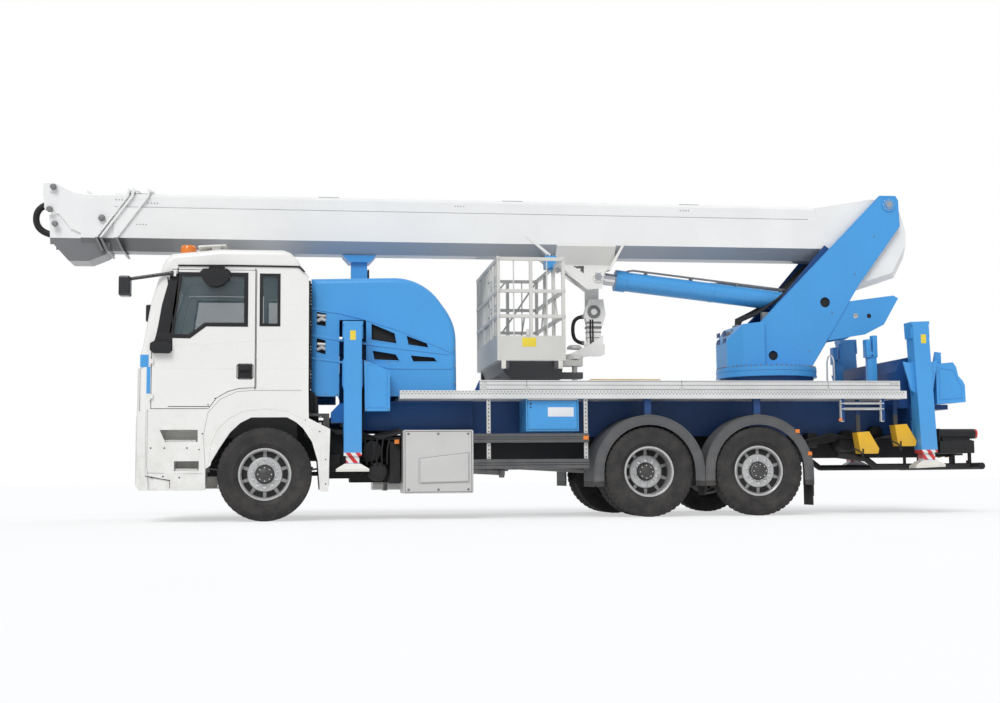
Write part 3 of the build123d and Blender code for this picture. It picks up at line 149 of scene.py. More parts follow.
# Paint, metal, rubber or plastic: zones and stripes over a colour that varies, and dust that thins upwards
def surface(name, color, rough=0.4, metal=0.0, coat=0.0, vary=0.05, dirt=0.0, dirt_top=1.4, grain=0.02,
            grain_scale=60.0, zones=(), stretch=None, spec=0.5, dust=(0.30, 0.27, 0.23), stripes=None):
    m, nt, shader = tree(name)
    coord = outputs(nt, "TexCoord")["Object"]
    split = nt.nodes.new("ShaderNodeSeparateXYZ")
    nt.links.new(coord, split.inputs[0])
    axes = split.outputs
    broad = noise(nt, coord, 1.7, 4.0)
    fine = noise(nt, coord, grain_scale, 3.0, 0.6, stretch)
    base = color
    for box, *other in zones:
        base = mix(nt, inside(nt, axes, box), base, faded(nt, axes, *other))
    if stripes:
        box, pitch, slant, one, two = stripes
        along = calc(nt, "ADD", axes[0], calc(nt, "MULTIPLY", axes[2], slant))
        band = calc(nt, "GREATER_THAN", calc(nt, "FRACT", calc(nt, "DIVIDE", along, pitch / 1000)), 0.5)
        base = mix(nt, inside(nt, axes, box), base, mix(nt, band, one, two))
    shade = calc(nt, "MULTIPLY", ramp(nt, broad, 0.3, 0.7, 1 - vary, 1 + vary / 2),
                 ramp(nt, fine, 0.35, 0.75, 1.0, 1 - vary))
    shown = node(nt, "VectorMath", {0: base, "Scale": shade}, operation="SCALE")
    if dirt:
        low = ramp(nt, axes[2], 0.25, dirt_top, 1.0, 0.0)
        spots = ramp(nt, noise(nt, coord, 7.0, 8.0, 0.65), 0.38, 0.72)
        dusty = calc(nt, "MULTIPLY", calc(nt, "MULTIPLY", low, spots), dirt, clamp=True)
        shown = mix(nt, dusty, shown, dust)
    fill(nt, shader, {
        "Base Color": shown, "Roughness": ramp(nt, fine, 0.3, 0.7, max(rough - 0.07, 0.02), rough + 0.09),
        "Metallic": metal, "Coat Weight": coat, "Coat Roughness": 0.08, "Specular IOR Level": spec,
        "Normal": bump(nt, fine, grain, 0.004)})
    return m


def glass(name, color, rough, alpha, vary=0.15):
    m, nt, shader = tree(name)
    n = noise(nt, outputs(nt, "TexCoord")["Object"], 3.0)
    fill(nt, shader, {
        "Base Color": mix(nt, ramp(nt, n, 0.3, 0.7, 0.0, vary), color, (0.5, 0.55, 0.6)),
        "Roughness": ramp(nt, n, 0.3, 0.7, rough, rough + 0.04), "Alpha": alpha, "Coat Weight": 0.6,
        "Coat Roughness": 0.03})
    return m


def wood(name):
    m, nt, shader = tree(name)
    grain = noise(nt, outputs(nt, "TexCoord")["Object"], 9.0, 8.0, 0.6, (0.6, 9.0, 9.0))
    fill(nt, shader, {
        "Base Color": mix(nt, ramp(nt, grain, 0.35, 0.65), (0.62, 0.42, 0.22), (0.80, 0.62, 0.38)),
        "Roughness": ramp(nt, grain, 0.3, 0.7, 0.55, 0.75), "Normal": bump(nt, grain, 0.3, 0.003)})
    return m


WHITE = (0.81, 0.80, 0.77)
BOOM_WHITE = (0.81, 0.81, 0.80)
BLUE = (0.065, 0.325, 0.70)
NAVY = (0.010, 0.058, 0.20)
# Painted light: a brighter navy that the subframe fades to towards its front
NAVY_PAINTED_LIGHT_FRONT = (0.008, 0.13, 0.42)
BLACK = (0.016, 0.016, 0.018)
BLACK_DUST = (0.06, 0.055, 0.05)
SILVER = (0.66, 0.65, 0.63)
CREAM = (0.74, 0.72, 0.66)
CREAM_DUST = (0.47, 0.44, 0.38)
RED = (0.62, 0.02, 0.02)
STRIPE_WHITE = (0.78, 0.78, 0.78)
# Painted shade on the boom's white underside, darkest at its head, with a faint blue painted reflection
SHADE_UNDER_HEAD = (0.17, 0.17, 0.175)
SHADE_UNDER_MIDDLE = (0.48, 0.50, 0.53)
SHADE_UNDER_ROOT = (0.27, 0.30, 0.35)
FOOT_FRONT = ((750, 1250), None, (655, 776))
FOOT_REAR = ((7800, 8200), None, (655, 776))
PAD = ((None, None, (550, 650)), CREAM)
CAB_PAINT = dict(rough=0.28, coat=0.5, vary=0.03)
CAB_DIRT = dict(dirt=0.5, dirt_top=1.5, dust=CREAM_DUST)
COLUMN_PAINT = dict(rough=0.32, coat=0.25, vary=0.04, dirt=0.3, dirt_top=1.2, zones=[PAD])
LENS = dict(coat=0.8, vary=0.12, grain_scale=90.0)


# Two boxes, one on each side of the truck
def both_sides(x, y, z):
    return (x, y, z), (x, (-y[1], -y[0]), z)


M = {
    "white": surface("white_paint", WHITE, **CAB_PAINT, **CAB_DIRT),
    # White boom paint, with painted shade and a faint painted reflection along its underside
    "boom": surface("boom_paint_with_painted_shade", BOOM_WHITE, 0.34, coat=0.3, vary=0.04, zones=[
        (((-3000, 1200), None, (3000, 3399)), SHADE_UNDER_HEAD, SHADE_UNDER_MIDDLE, -1400, 0),
        (((1200, 7050), None, (3000, 3399)), SHADE_UNDER_MIDDLE, SHADE_UNDER_ROOT, 2500, 6500)]),
    "blue": surface("blue_paint", BLUE, 0.30, coat=0.25, vary=0.04, dirt=0.2, dirt_top=1.2, spec=0.4),
    "front_column": surface("front_column_paint", BLUE, stripes=(FOOT_FRONT, 110, 0.8, RED, STRIPE_WHITE),
                            **COLUMN_PAINT),
    "rear_column": surface("rear_column_paint", BLUE, stripes=(FOOT_REAR, 110, 0.8, RED, STRIPE_WHITE),
                           **COLUMN_PAINT),
    "fender": surface("fender_paint", WHITE, zones=[(((495, 745), (-1246, 1246), (1052, 1290)), BLACK)],
                      **CAB_PAINT, **CAB_DIRT),
    "door": surface("door_paint", WHITE, zones=[(box, BLACK) for box in (
        *both_sides((-1700, -1040), (1221, 1500), (2540, 2860)),
        *both_sides((-1270, -1070), (1220.2, 1500), (1920, 2020)))], **CAB_PAINT),
    "front": surface("front_paint", WHITE, zones=[
        (((-1442, -1390), (-895, 895), (1315, 1715)), BLACK),
        (((-1452, -1300), (-745, 745), (555, 865)), BLACK)], **CAB_PAINT, **CAB_DIRT),
    "lamps": surface("lamp_lens", (0.72, 0.74, 0.76), 0.12, coat=0.9, vary=0.1, grain=0.2, grain_scale=70.0,
                     zones=[(((8000, 9000), None, None), (0.55, 0.015, 0.01))]),
    "guard": surface("mudguard_plastic", (0.088, 0.090, 0.095), 0.6, vary=0.12, dirt=0.3,
                     grain=0.25, grain_scale=220.0,
                     zones=[((None, None, (200, 425)), BLACK), ((None, None, (1218, 1450)), NAVY)]),
    # Navy paint, with painted light brightening it towards the front
    "navy": surface("subframe_paint_and_painted_light", NAVY, 0.42, coat=0.1, vary=0.10, dirt=0.15, dirt_top=1.3, spec=0.35,
                    dust=(0.05, 0.05, 0.05),
                    zones=[(((600, 2500), None, None), NAVY_PAINTED_LIGHT_FRONT, NAVY, 900, 2400)]),
    "black": surface("black_paint", BLACK, 0.5, vary=0.04, dirt=0.2, dust=BLACK_DUST, spec=0.3),
    "plastic": surface("black_plastic", (0.018, 0.018, 0.019), 0.62, vary=0.04, dirt=0.2,
                       grain=0.25, grain_scale=220.0, dust=BLACK_DUST, spec=0.3),
    "silver": surface("aluminium", SILVER, 0.38, metal=0.5, vary=0.08, grain=0.06, stretch=(0.5, 8.0, 8.0)),
    "deck": surface("deck_aluminium", (0.74, 0.74, 0.73), 0.45, metal=0.25, vary=0.10, grain=0.12),
    "steel": surface("cast_steel", (0.26, 0.26, 0.26), 0.5, metal=0.6, vary=0.2, dirt=0.3,
                     grain=0.2, dust=(0.08, 0.075, 0.07)),
    "rim": surface("rim_steel", (0.34, 0.335, 0.33), 0.40, metal=0.4, vary=0.16, dirt=0.4,
                   grain=0.08, dust=(0.10, 0.09, 0.08)),
    "disc": surface("wheel_disc", (0.62, 0.62, 0.61), 0.32, metal=0.5, vary=0.12, dirt=0.3,
                    grain=0.05, dust=(0.16, 0.15, 0.13)),
    "hub": surface("hub_iron", (0.075, 0.073, 0.07), 0.45, metal=0.3, vary=0.2, dirt=0.3,
                   grain=0.15, dust=(0.05, 0.047, 0.043)),
    "chrome": surface("bright_rod", (0.72, 0.73, 0.75), 0.12, metal=1.0, grain=0.01),
    "tyre": surface("tyre_rubber", (0.030, 0.029, 0.029), 0.78, vary=0.10, dirt=0.8, dirt_top=1.9,
                    grain=0.3, grain_scale=160.0, dust=(0.075, 0.068, 0.062), spec=0.3),
    "hose": surface("hose_rubber", (0.012, 0.012, 0.013), 0.55, vary=0.10, grain=0.15, spec=0.35),
    "glass": glass("window_glass", (0.05, 0.10, 0.12), 0.03, 0.34),
    "amber": surface("amber_lens", (0.85, 0.22, 0.01), 0.25, grain=0.3, **LENS),
    "red": surface("red_lens", (0.55, 0.015, 0.01), 0.25, grain=0.2, **LENS),
    "inside": surface("cab_trim", (0.06, 0.06, 0.065), 0.75, vary=0.12, grain=0.3, grain_scale=140.0),
    "yellow": surface("yellow_plastic", (0.78, 0.44, 0.015), 0.5, vary=0.12, dirt=0.3, dirt_top=1.5,
                      grain=0.15),
    "label": surface("yellow_sticker", (0.80, 0.62, 0.05), vary=0.06),
    "plate": surface("white_sticker", (0.74, 0.75, 0.77)),
    "basket": surface("basket_aluminium", (0.70, 0.69, 0.65), 0.42, metal=0.3, vary=0.08, grain=0.06,
                      zones=[((None, None, (1600, 1868)), (0.10, 0.10, 0.105))]),
    # Dark joints and lock holes, and painted shade in holes, grooves, slots and recesses
    "dark": surface("dark_joints_and_painted_shade", (0.010, 0.010, 0.011), 0.8, vary=0.1, grain=0.1),
    # Seam lines, and painted shade along creases and folds
    "seam": surface("seam_line_and_crease_shade", (0.34, 0.35, 0.37), 0.5, vary=0.1, grain=0.05),
    "cream": surface("foot_blocks", CREAM, 0.6, vary=0.08, grain=0.1),
    "wood": wood("board_wood")}

# The solids' materials, by how their names start: the first line that fits counts, and the rest are steel
FINISHES = (
    ("glass", "cab_glass door_glass"), ("white", "cab_shell lift_bracket jib basket_arm"),
    ("front", "cab_front"), ("inside", "cab_interior"), ("fender", "front_fenders"), ("door", "door"),
    ("amber", "beacons"), ("lamps", "lamps"),
    ("black", "chassis_frame front_axle rear_axles rear_underrun knuckle"),
    ("blue", "cowl boom_rest control_box rear_covers turret lift_barrel"), ("boom", "boom"),
    ("basket", "basket"), ("chrome", "lift_rod"), ("hose", "head_hose arm_hose"), ("navy", "subframe"),
    ("deck", "deck"), ("silver", "side_boxes"), ("guard", "side_guards rear_mudguards"),
    ("yellow", "wheel_chocks"), ("front_column", "outrigger_front leg_front"),
    ("rear_column", "outrigger_rear leg_rear"), ("tyre", "tyre"), ("rim", "rim"))
for name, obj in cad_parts.items():
    key = next((key for key, starts in FINISHES if name.startswith(tuple(starts.split()))), "steel")
    obj.data.materials.clear()
    obj.data.materials.append(M[key])


# Shapes are gathered in one mesh, and done() makes it a piece and starts the next
# Shape.side is 1, or -1 while the left side's shapes are made from the right side's numbers
class Shape:
    side = 1

    def __init__(self):
        self.bm = bmesh.new()

    def at(self, x, y, z):
        return P(x, Shape.side * y, z)

    def hull(self, rings, closed=True, caps=True):
        rows = [[self.bm.verts.new(p) for p in ring] for ring in rings]
        for a, b in zip(rows, rows[1:]):
            n = len(a)
            for i in range(n if closed else n - 1):
                j = (i + 1) % n
                self.bm.faces.new((a[i], a[j], b[j], b[i]))
        if caps:
            self.bm.faces.new(rows[0][::-1])
            self.bm.faces.new(rows[-1])

    def box(self, x0, x1, y0, y1, z0, z1):
        ring = ((x0, y0), (x1, y0), (x1, y1), (x0, y1))
        self.hull([[self.at(x, y, z) for x, y in ring] for z in (z0, z1)])

    def prism_y(self, points, y0, y1):
        self.hull([[self.at(x, y, z) for x, z in points] for y in (y0, y1)])

    def prism_x(self, points, x0, x1):
        self.hull([[self.at(x, y, z) for y, z in points] for x in (x0, x1)])

    def tube(self, points, r, n=12):
        pts = [self.at(*p) for p in points]
        rings = []
        up = None
        for i, p in enumerate(pts):
            before = pts[max(i - 1, 0)]
            after = pts[min(i + 1, len(pts) - 1)]
            d = (after - before).normalized()
            if up is None or abs(d.dot(up)) > 0.95:
                up = Vector((0, 0, 1)) if abs(d.z) < 0.9 else Vector((1, 0, 0))
            a = d.cross(up).normalized()
            up = a.cross(d).normalized()
            turn = 1.0
            if before != p and after != p:
                turn = 1 / max(sqrt((1 + (p - before).normalized().dot((after - p).normalized())) / 2), 0.5)
            rings.append([p + (a * cos(t) + up * sin(t)) * (r / 1000) * (1 + (turn - 1) * 0.5)
                          for t in (2 * pi * k / n for k in range(n))])
        self.hull(rings)

    def rod(self, p, q, r, n=16):
        self.tube([p, q], r, n)

    def lathe_y(self, cx, cz, profile, n=32, caps=True):
        self.hull([[self.at(x, y, z) for x, z in circle(cx, cz, r, n)] for y, r in profile], caps=caps)

    def lathe_z(self, cx, cy, profile, n=32):
        self.hull([[P(x, y, z) for x, y in circle(cx, Shape.side * cy, r, n)] for z, r in profile])

    # A band of a width round a closed line in the XZ plane, between two depths
    def band(self, points, w, y0, y1, closed=True):
        n = len(points)
        left, right = [], []
        for i, (x, z) in enumerate(points):
            ax, az = points[i - 1] if i or closed else points[i]
            bx, bz = points[(i + 1) % n] if i < n - 1 or closed else points[i]
            arrive, leave = Vector((x - ax, z - az)).normalized(), Vector((bx - x, bz - z)).normalized()
            if (ax, az) == (x, z):
                arrive = leave
            if (bx, bz) == (x, z):
                leave = arrive
            m = (arrive + leave).normalized()
            k = w / 2 / max(m.dot(arrive), 0.4)
            left.append((x - m.y * k, z + m.x * k))
            right.append((x + m.y * k, z - m.x * k))
        rings = []
        for i in list(range(n)) + ([0] if closed else []):
            (lx, lz), (rx, rz) = left[i], right[i]
            rings.append([self.at(*p) for p in ((lx, y0, lz), (rx, y0, rz), (rx, y1, rz), (lx, y1, lz))])
        self.hull(rings, caps=not closed)

    # The same along an open line
    def line(self, points, w, y0, y1):
        self.band(points, w, y0, y1, closed=False)

    def bolts_y(self, places, y, out, r=11, n=6):
        for x, z in places:
            self.lathe_y(x, z, [(y, r), (y + out * 0.8, r), (y + out, r * 0.7)], n)

    def done(self, name, material, body="truck", bevel=0.0, smooth=30.0, segments=2):
        bm = self.bm
        bmesh.ops.remove_doubles(bm, verts=bm.verts, dist=0.00002)
        bmesh.ops.recalc_face_normals(bm, faces=bm.faces)
        if bevel:
            edges = [e for e in bm.edges if len(e.link_faces) == 2 and e.calc_face_angle(0) > radians(25)]
            bmesh.ops.bevel(bm, geom=edges, offset=bevel / 1000, segments=segments, profile=0.6,
                            affect="EDGES", clamp_overlap=True)
        for f in bm.faces:
            f.smooth = True
        for e in bm.edges:
            e.smooth = len(e.link_faces) == 2 and e.calc_face_angle(0) < radians(smooth)
        mesh = bpy.data.meshes.new(name)
        bm.to_mesh(mesh)
        bm.free()
        self.bm = bmesh.new()
        obj = bpy.data.objects.new(name, mesh)
        bpy.context.scene.collection.objects.link(obj)
        mesh.materials.append(M[material])
        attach(obj, body)
        return obj


s = Shape()


# The same shape on the left side and on the right
def both(make, *values):
    for Shape.side in (-1, 1):
        make(*values)


# Wheels: a grooved tyre in place of each plain one, with nuts and hub bolts on the rim
# The disc lies disc_y inwards of the tyre's middle, and the hub stands out from it by hub_out
def wheel(tag, body, x, width, y_mid, disc_y, hub_out, side):
    w, turns = width / 2, 96
    half = [(306, 0.74), (318, 0.80), (345, 0.915), (352, 0.955), (358, 0.945), (400, 0.995), (418, 1.0),
            (452, 0.985), (458, 0.995), (466, 0.97), (495, 0.935), (508, 0.90), (520, 0.86), (533, 0.80)]
    crown = [(535, 0.76), (535, 0.52), (521, 0.50), (521, 0.44), (535, 0.42), (535, 0.16), (521, 0.14),
             (521, 0.06), (535, 0.04)]
    line = half + crown
    profile = [(r, -y) for r, y in line] + [(r, y) for r, y in reversed(line)]
    rings = []
    for k in range(turns * 2):
        t = pi * k / turns
        ring = []
        for r, y in profile:
            if k % 4 == 0 and r > 505 and abs(y) > 0.5:
                r -= 11
            if k % 4 == 2 and r > 530 and abs(y) < 0.45:
                r -= 6
            ring.append(P(x + r * cos(t), y_mid + y * w, AXLE_Z + r * sin(t)))
        rings.append(ring)
    rings.append(rings[0])
    s.hull(rings, caps=False, closed=False)
    tyre = s.done(f"tread_{tag}", "tyre", body, smooth=42)
    if hub_out is None:
        return tyre

    # Radii at distances outwards from a depth
    def steps(depth, *pairs):
        return [(depth + side * out, r) for out, r in pairs]

    face = y_mid + side * (14 - disc_y)
    tip = y_mid + side * (hub_out - disc_y)
    for px, pz in circle(x, AXLE_Z, 142, 10, 0.5):
        s.lathe_y(px, pz, steps(face, (3, 23), (9, 23), (10, 18), (34, 18), (38, 11)), 6)
    for px, pz in circle(x, AXLE_Z, 76, 8):
        s.lathe_y(px, pz, steps(tip, (0, 8), (7, 8), (8, 5)), 6)
    s.done(f"nuts_{tag}", "chrome", body)
    s.lathe_y(x, AXLE_Z, steps(tip, (-1, 96), (4, 92), (5, 70), (3, 66), (5, 56), (12, 40), (13, 0.5)), 36)
    s.lathe_y(x, AXLE_Z, steps(face, (-4, 97), (9, 97), (9, 108), (-4, 112), (-4, 97)), 48, False)
    s.done(f"hub_{tag}", "hub", body)
    # Bright disc round the nuts, dark sheets of painted shade in the hand holes between its spokes, and the
    # bright edge of the rim
    rim = steps(face, (0, 108), (4, 112), (5, 176), (1, 192), (-8, 200), (-8, 108))
    s.lathe_y(x, AXLE_Z, rim, 80, False)
    s.done(f"disc_{tag}", "disc", body)
    for k in range(10):
        t = 2 * pi * k / 10
        inner = [(x + 196 * cos(t + a), AXLE_Z + 196 * sin(t + a)) for a in (-0.20, 0.0, 0.20)]
        outer = [(x + 266 * cos(t + a), AXLE_Z + 266 * sin(t + a)) for a in (0.25, 0.0, -0.25)]
        s.prism_y(inner + outer, face - side * 14, face - side * 9)
    s.done(f"hand_hole_shade_{tag}", "dark", body)
    lip = y_mid + side * (w * 0.62 + 9)
    s.lathe_y(x, AXLE_Z, steps(lip, (0, 279), (3, 283), (4, 299), (0, 303), (0, 279)), 80, False)
    s.lathe_y(x, AXLE_Z, steps(lip, (-24, 268), (-20, 270), (-2, 279), (-6, 282), (-24, 268)), 80, False)
    s.done(f"lip_{tag}", "disc", body)
    return tyre


for side, name in SIDES:
    for place, x in (("front", 0), ("tag", TAG_X)):
        o = wheel(f"{place}_{name}", f"wheel_{place}_{name}", x, 315, side * 1092.5, -60, 95, side)
        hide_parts(f"tyre_{place}_{name}")
    outer = wheel(f"drive_{name}", f"wheel_drive_{name}", DRIVE_X, 300, side * 1100, 90, 60, side)
    inner = wheel(f"drive_inner_{name}", f"wheel_drive_{name}", DRIVE_X, 300, side * 770, 0, None, side)
    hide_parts(f"tyre_drive_{name}")
    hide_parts(f"tyre_drive_{name}")

# Cab: window gaskets, pillar trims, gutters and door handles
door_window = [(-1062, 2145), (-1040, 2115), (-860, 2112),
               (-680, 2250), (-225, 2250), (-225, 2830), (-968, 2830)]
rear_window = [(-55, 2250), (148, 2250), (148, 2830), (-55, 2830)]
for Shape.side, name in SIDES:
    y0, y1 = CAB_SIDE, CAB_SIDE + 4
    s.band(door_window, 46, y0, y1)
    s.prism_y([(-1225, 2148), (-1066, 2148), (-1010, 2500), (-985, 2830), (-1075, 2835), (-1170, 2480)],
              y0, y1)
    s.line([(-1110, 2790), (-1075, 2520), (-1040, 2160)], 14, y1, 1226)
    s.done(f"door_seal_{name}", "plastic", f"door_{name}", bevel=1)
    s.band(rear_window, 34, y0, y1)
    s.line([(-996, 2926), (-400, 2934), (381, 2930), (440, 2870)], 20, y0, 1232)
    s.line([(-996, 2905), (-996, 2800)], 12, y0, y1)
    s.done(f"window_seal_{name}", "plastic", bevel=1)
    s.band([(-322, 1640), (-300, 1625), (-160, 1625), (-141, 1645), (-141, 1780), (-160, 1797),
            (-300, 1797), (-322, 1780)], 10, y0, 1222)
    s.box(-312, -150, y0, 1221, 1632, 1790)
    s.box(-305, -165, y0, 1246, 1722, 1775)
    s.lathe_y(-232, 1668, [(1220, 20), (1227, 20), (1229, 15)], 20)
    s.done(f"door_handle_{name}", "plastic", f"door_{name}", bevel=3)
    # Shut lines beside the door and swages along its skin
    s.line([(-118, 1500), (-118, 2905)], 9, CAB_SIDE - 0.5, CAB_SIDE + 1.3)
    s.line([(-1090, 1310), (-620, 1310)], 8, CAB_SIDE - 0.5, CAB_SIDE + 1.3)
    s.done(f"shut_line_{name}", "dark")
    s.line([(-1180, 1742), (-350, 1748)], 10, 1219, 1222)
    s.line([(-1180, 1990), (-130, 2060)], 6, 1219, 1221.5)
    s.done(f"door_swage_{name}", "white", f"door_{name}", bevel=1)
    s.line([(-90, 1748), (470, 1748)], 10, 1219, 1222)
    s.line([(-80, 2062), (470, 2090)], 6, 1219, 1221.5)
    s.done(f"cab_swage_{name}", "white", bevel=1)
    # Fender: wheel-arch lip, ribbed treads in the step wells, and screws
    s.line([(-640, 640), (-612, 880), (-540, 1050), (-420, 1175), (-250, 1262), (0, 1290), (250, 1262),
            (420, 1175), (540, 1050), (612, 880), (640, 640)], 16, 1244, 1254.5)
    s.done(f"arch_lip_{name}", "white", bevel=2)
    for x0, x1, z0, z1 in ((-1165, -770, 915, 925), (-1000, -745, 590, 600)):
        s.box(x0, x1, 1120, 1240, z0, z1)
        for k in range(int((x1 - x0) / 28)):
            s.box(x0 + 8 + 28 * k, x0 + 20 + 28 * k, 1124, 1238, z1, z1 + 8)
    s.done(f"step_treads_{name}", "silver", bevel=1)
    s.bolts_y([(-735, 820), (-700, 1000), (-640, 1330), (-560, 1400), (455, 1150), (620, 1020), (690, 700),
               (690, 420)], BODY_SIDE, 4, 8, 12)
    s.done(f"fender_screws_{name}", "plastic")
    # Ribbed rubber duct up the rear corner of the cab
    s.box(486, 512, 1060, 1150, 1520, 2780)
    for k in range(30):
        s.box(486, 524, 1052, 1158, 1535 + 41 * k, 1557 + 41 * k)
    s.done(f"cab_duct_{name}", "plastic", bevel=2)

# Bumper and fender seams, plugs, and the low trim under the front corner
for Shape.side, name in SIDES:
    s.line([(-1310, 1275), (-1310, 640), (-1290, 380)], 6, *SEAM_DEPTHS)
    s.line([(-1310, 560), (-700, 545)], 6, *SEAM_DEPTHS)
    s.line([(-663, 600), (-672, 720), (-690, 980), (-640, 1240)], 5, *SEAM_DEPTHS)
    s.line([(-640, 1240), (-500, 1395), (-318, 1478), (-138, 1492), (410, 1492)], 6, *SEAM_DEPTHS)
    s.done(f"fender_seams_{name}", "seam")
    for x, z in ((-1270, 840), (-1120, 838), (-870, 838), (-1255, 510), (-1130, 520), (-950, 505)):
        s.lathe_y(x, z, [(BODY_SIDE, 9), (BODY_SIDE + 4, 9), (BODY_SIDE + 5, 6)], 12)
    s.done(f"fender_plugs_{name}", "plastic")
    s.prism_y([(-1130, 548), (-1110, 575), (-735, 575), (-735, 548)], 1180, 1252)
    s.prism_y([(-1060, 360), (-1060, 385), (-668, 385), (-668, 360)], 1180, 1252)
    s.done(f"fender_lips_{name}", "white", bevel=5)
    # Black foot of the windscreen pillar, with its low mirror housing
    s.prism_y([(-1300, 1958), (-1262, 1918), (-1075, 1918), (-1048, 1950), (-1048, 2080), (-1066, 2150),
               (-1225, 2150), (-1250, 2060), (-1300, 2030)], 1220, 1224)
    s.prism_y([(-1296, 1950), (-1240, 1916), (-1085, 1914), (-1062, 1940), (-1062, 2018), (-1120, 2050),
               (-1270, 2030)], 1222, 1290)
    s.done(f"pillar_foot_{name}", "plastic", f"door_{name}", bevel=14, segments=3)

# Blue stripes round the front corners of the cab
for Shape.side in (-1, 1):
    s.box(-1404, -1310, 1219, 1221.5, 1759, 1900)
    s.box(-1330, -1288, 1219, 1221.5, 1457, 1759)
s.done("corner_marks", "blue", bevel=1)


# Front of the cab: a point of the windscreen's slope at a height
def screen_x(z):
    return -1378 + (z - 1994) * (1378 - 1173) / (2921 - 1994)


for y in (-640, 0, 640):
    pivot = (screen_x(1975) - 24, y, 1950)
    tip = (screen_x(2420) - 12, y + 330, 2420)
    knee = (screen_x(2060) - 22, y + 60, 2060)
    s.tube([pivot, knee, tip], 9, 8)
    s.rod((pivot[0] + 30, y, 1950), (pivot[0] - 6, y, 1950), 20)
    s.tube([(screen_x(2150) - 4, y + 250, 2150), (screen_x(2700) - 4, y + 370, 2700)], 8, 6)
s.done("wipers", "plastic")
for z in (1378, 1456, 1534, 1612):
    s.box(-1452, -1440, -870, 870, z, z + 12)
s.box(-1449, -1441, -500, 500, 1728, 1736)
s.done("grille_strips", "chrome", bevel=1)
s.box(-1460, -1452, -260, 260, 450, 560)
s.done("blank_plate", "plate", bevel=2)
for Shape.side in (-1, 1):
    for y in (870, 985):
        s.rod((-1454, y, 845), (-1444, y, 845), 52, 28)
s.done("head_lamp_bowls", "chrome", bevel=2)
for k in range(9):
    s.box(-1438, -1428, -730, 730, 580 + 32 * k, 590 + 32 * k)
s.done("bumper_mesh", "plastic", bevel=1)
s.tube([(-560, -1226, 2915), (-560, -1262, 2900), (-560, -1300, 2800)], 12, 10)
s.box(-650, -470, -1246, -1222, 2885, 2918)
s.prism_y([(-738, 2830), (-700, 2872), (-430, 2872), (-392, 2836), (-410, 2760), (-480, 2690),
           (-560, 2664), (-640, 2680), (-700, 2740)], -1400, -1262)
s.done("kerb_mirror", "plastic", "door_left", bevel=24, segments=4)
# Beacons' amber domes on dark feet, and the deflector's blade behind them
foot = Shape()
for Shape.side in (-1, 1):
    s.lathe_z(-925, 700, [(3105, 84), (3112, 89), (3218, 88), (3232, 82), (3242, 74), (3242.5, 40)], 32)
    for k in range(12):
        x, y = 89 * cos(k * pi / 6), Shape.side * 89 * sin(k * pi / 6)
        s.rod((-925 + x, 700 + y, 3118), (-925 + x, 700 + y, 3214), 4, 6)
    foot.lathe_z(-925, 700, [(3060, 84), (3105, 93), (3110, 93), (3112, 60)], 32)
s.done("beacon_domes", "amber")
foot.done("beacon_feet", "plastic")
s.prism_y([(-800, 3188), (-790, 3206), (-480, 3225), (-470, 3214)], -960, 960)
both(s.prism_y, [(-640, 3100), (-640, 3206), (-540, 3214), (-540, 3100)], 880, 890)
s.done("flap_blade", "white", bevel=3)

# Cowl: raised creases, dark backs of the slots as painted shade, rims of the slots, screws round the edge
# and pipe handles; rest pipes
creases = ([(525, 2472), (850, 2424), (1100, 2364), (1559, 2225), (2190, 1960)],
           [(525, 2156), (854, 2102), (1265, 2045), (2140, 1943)],
           [(525, 1886), (855, 1843), (1488, 1774), (2175, 1776)])
for Shape.side in (-1, 1):
    for crease in creases:
        s.line(crease, 26, 997, 1008)
s.done("cowl_creases", "blue", bevel=5)
# Painted shade: dark sheets behind the slots
for Shape.side in (-1, 1):
    s.prism_y([(1190, 1830), (2040, 1820), (1960, 2110), (1190, 2330)], 940, 948)
    s.prism_y([(560, 1900), (720, 1900), (720, 2460), (560, 2460)], 940, 948)
s.done("cowl_slot_shade", "dark")
slots = ([(1217, 2306), (1500, 2189), (1524, 2059), (1217, 2104)],
         [(1630, 2166), (1879, 2073), (1903, 2013), (1654, 2048)],
         [(1229, 1986), (1512, 1940), (1559, 1857), (1253, 1868)],
         [(1677, 1929), (1962, 1906), (2009, 1847), (1712, 1846)],
         [(575, 2440), (702, 2418), (691, 2255), (575, 2277)],
         [(575, 2130), (691, 2101), (692, 1924), (575, 1956)])
for Shape.side in (-1, 1):
    for slot in slots:
        s.band(slot, 12, 994, 1004)
s.done("cowl_slot_rims", "blue", bevel=2)
for Shape.side in (-1, 1):
    places = row(560, 820, 3, 1465) + row(1180, 2180, 6, 1465)
    s.bolts_y(places, 999, 6, 10, 6)
    s.bolts_y([(2205, z) for z in (1600, 1800, 2000)], 999, 6, 10, 6)
s.done("cowl_screws", "steel")
for Shape.side in (-1, 1):
    for z in (1990, 2330):
        s.tube([(590, 960, z), (640, 972, z + 26), (705, 960, z)], 24, 10)
        s.rod((590, 962, z + 70), (705, 962, z + 60), 20, 10)
s.done("cowl_pipes", "silver")
for y in (-70, 70):
    s.rod((1225, y, 2900), (1225, y, 3080), 12)
s.box(1212, 1222, -60, 60, 2960, 3020)
s.done("rest_pipes", "plastic", bevel=2)

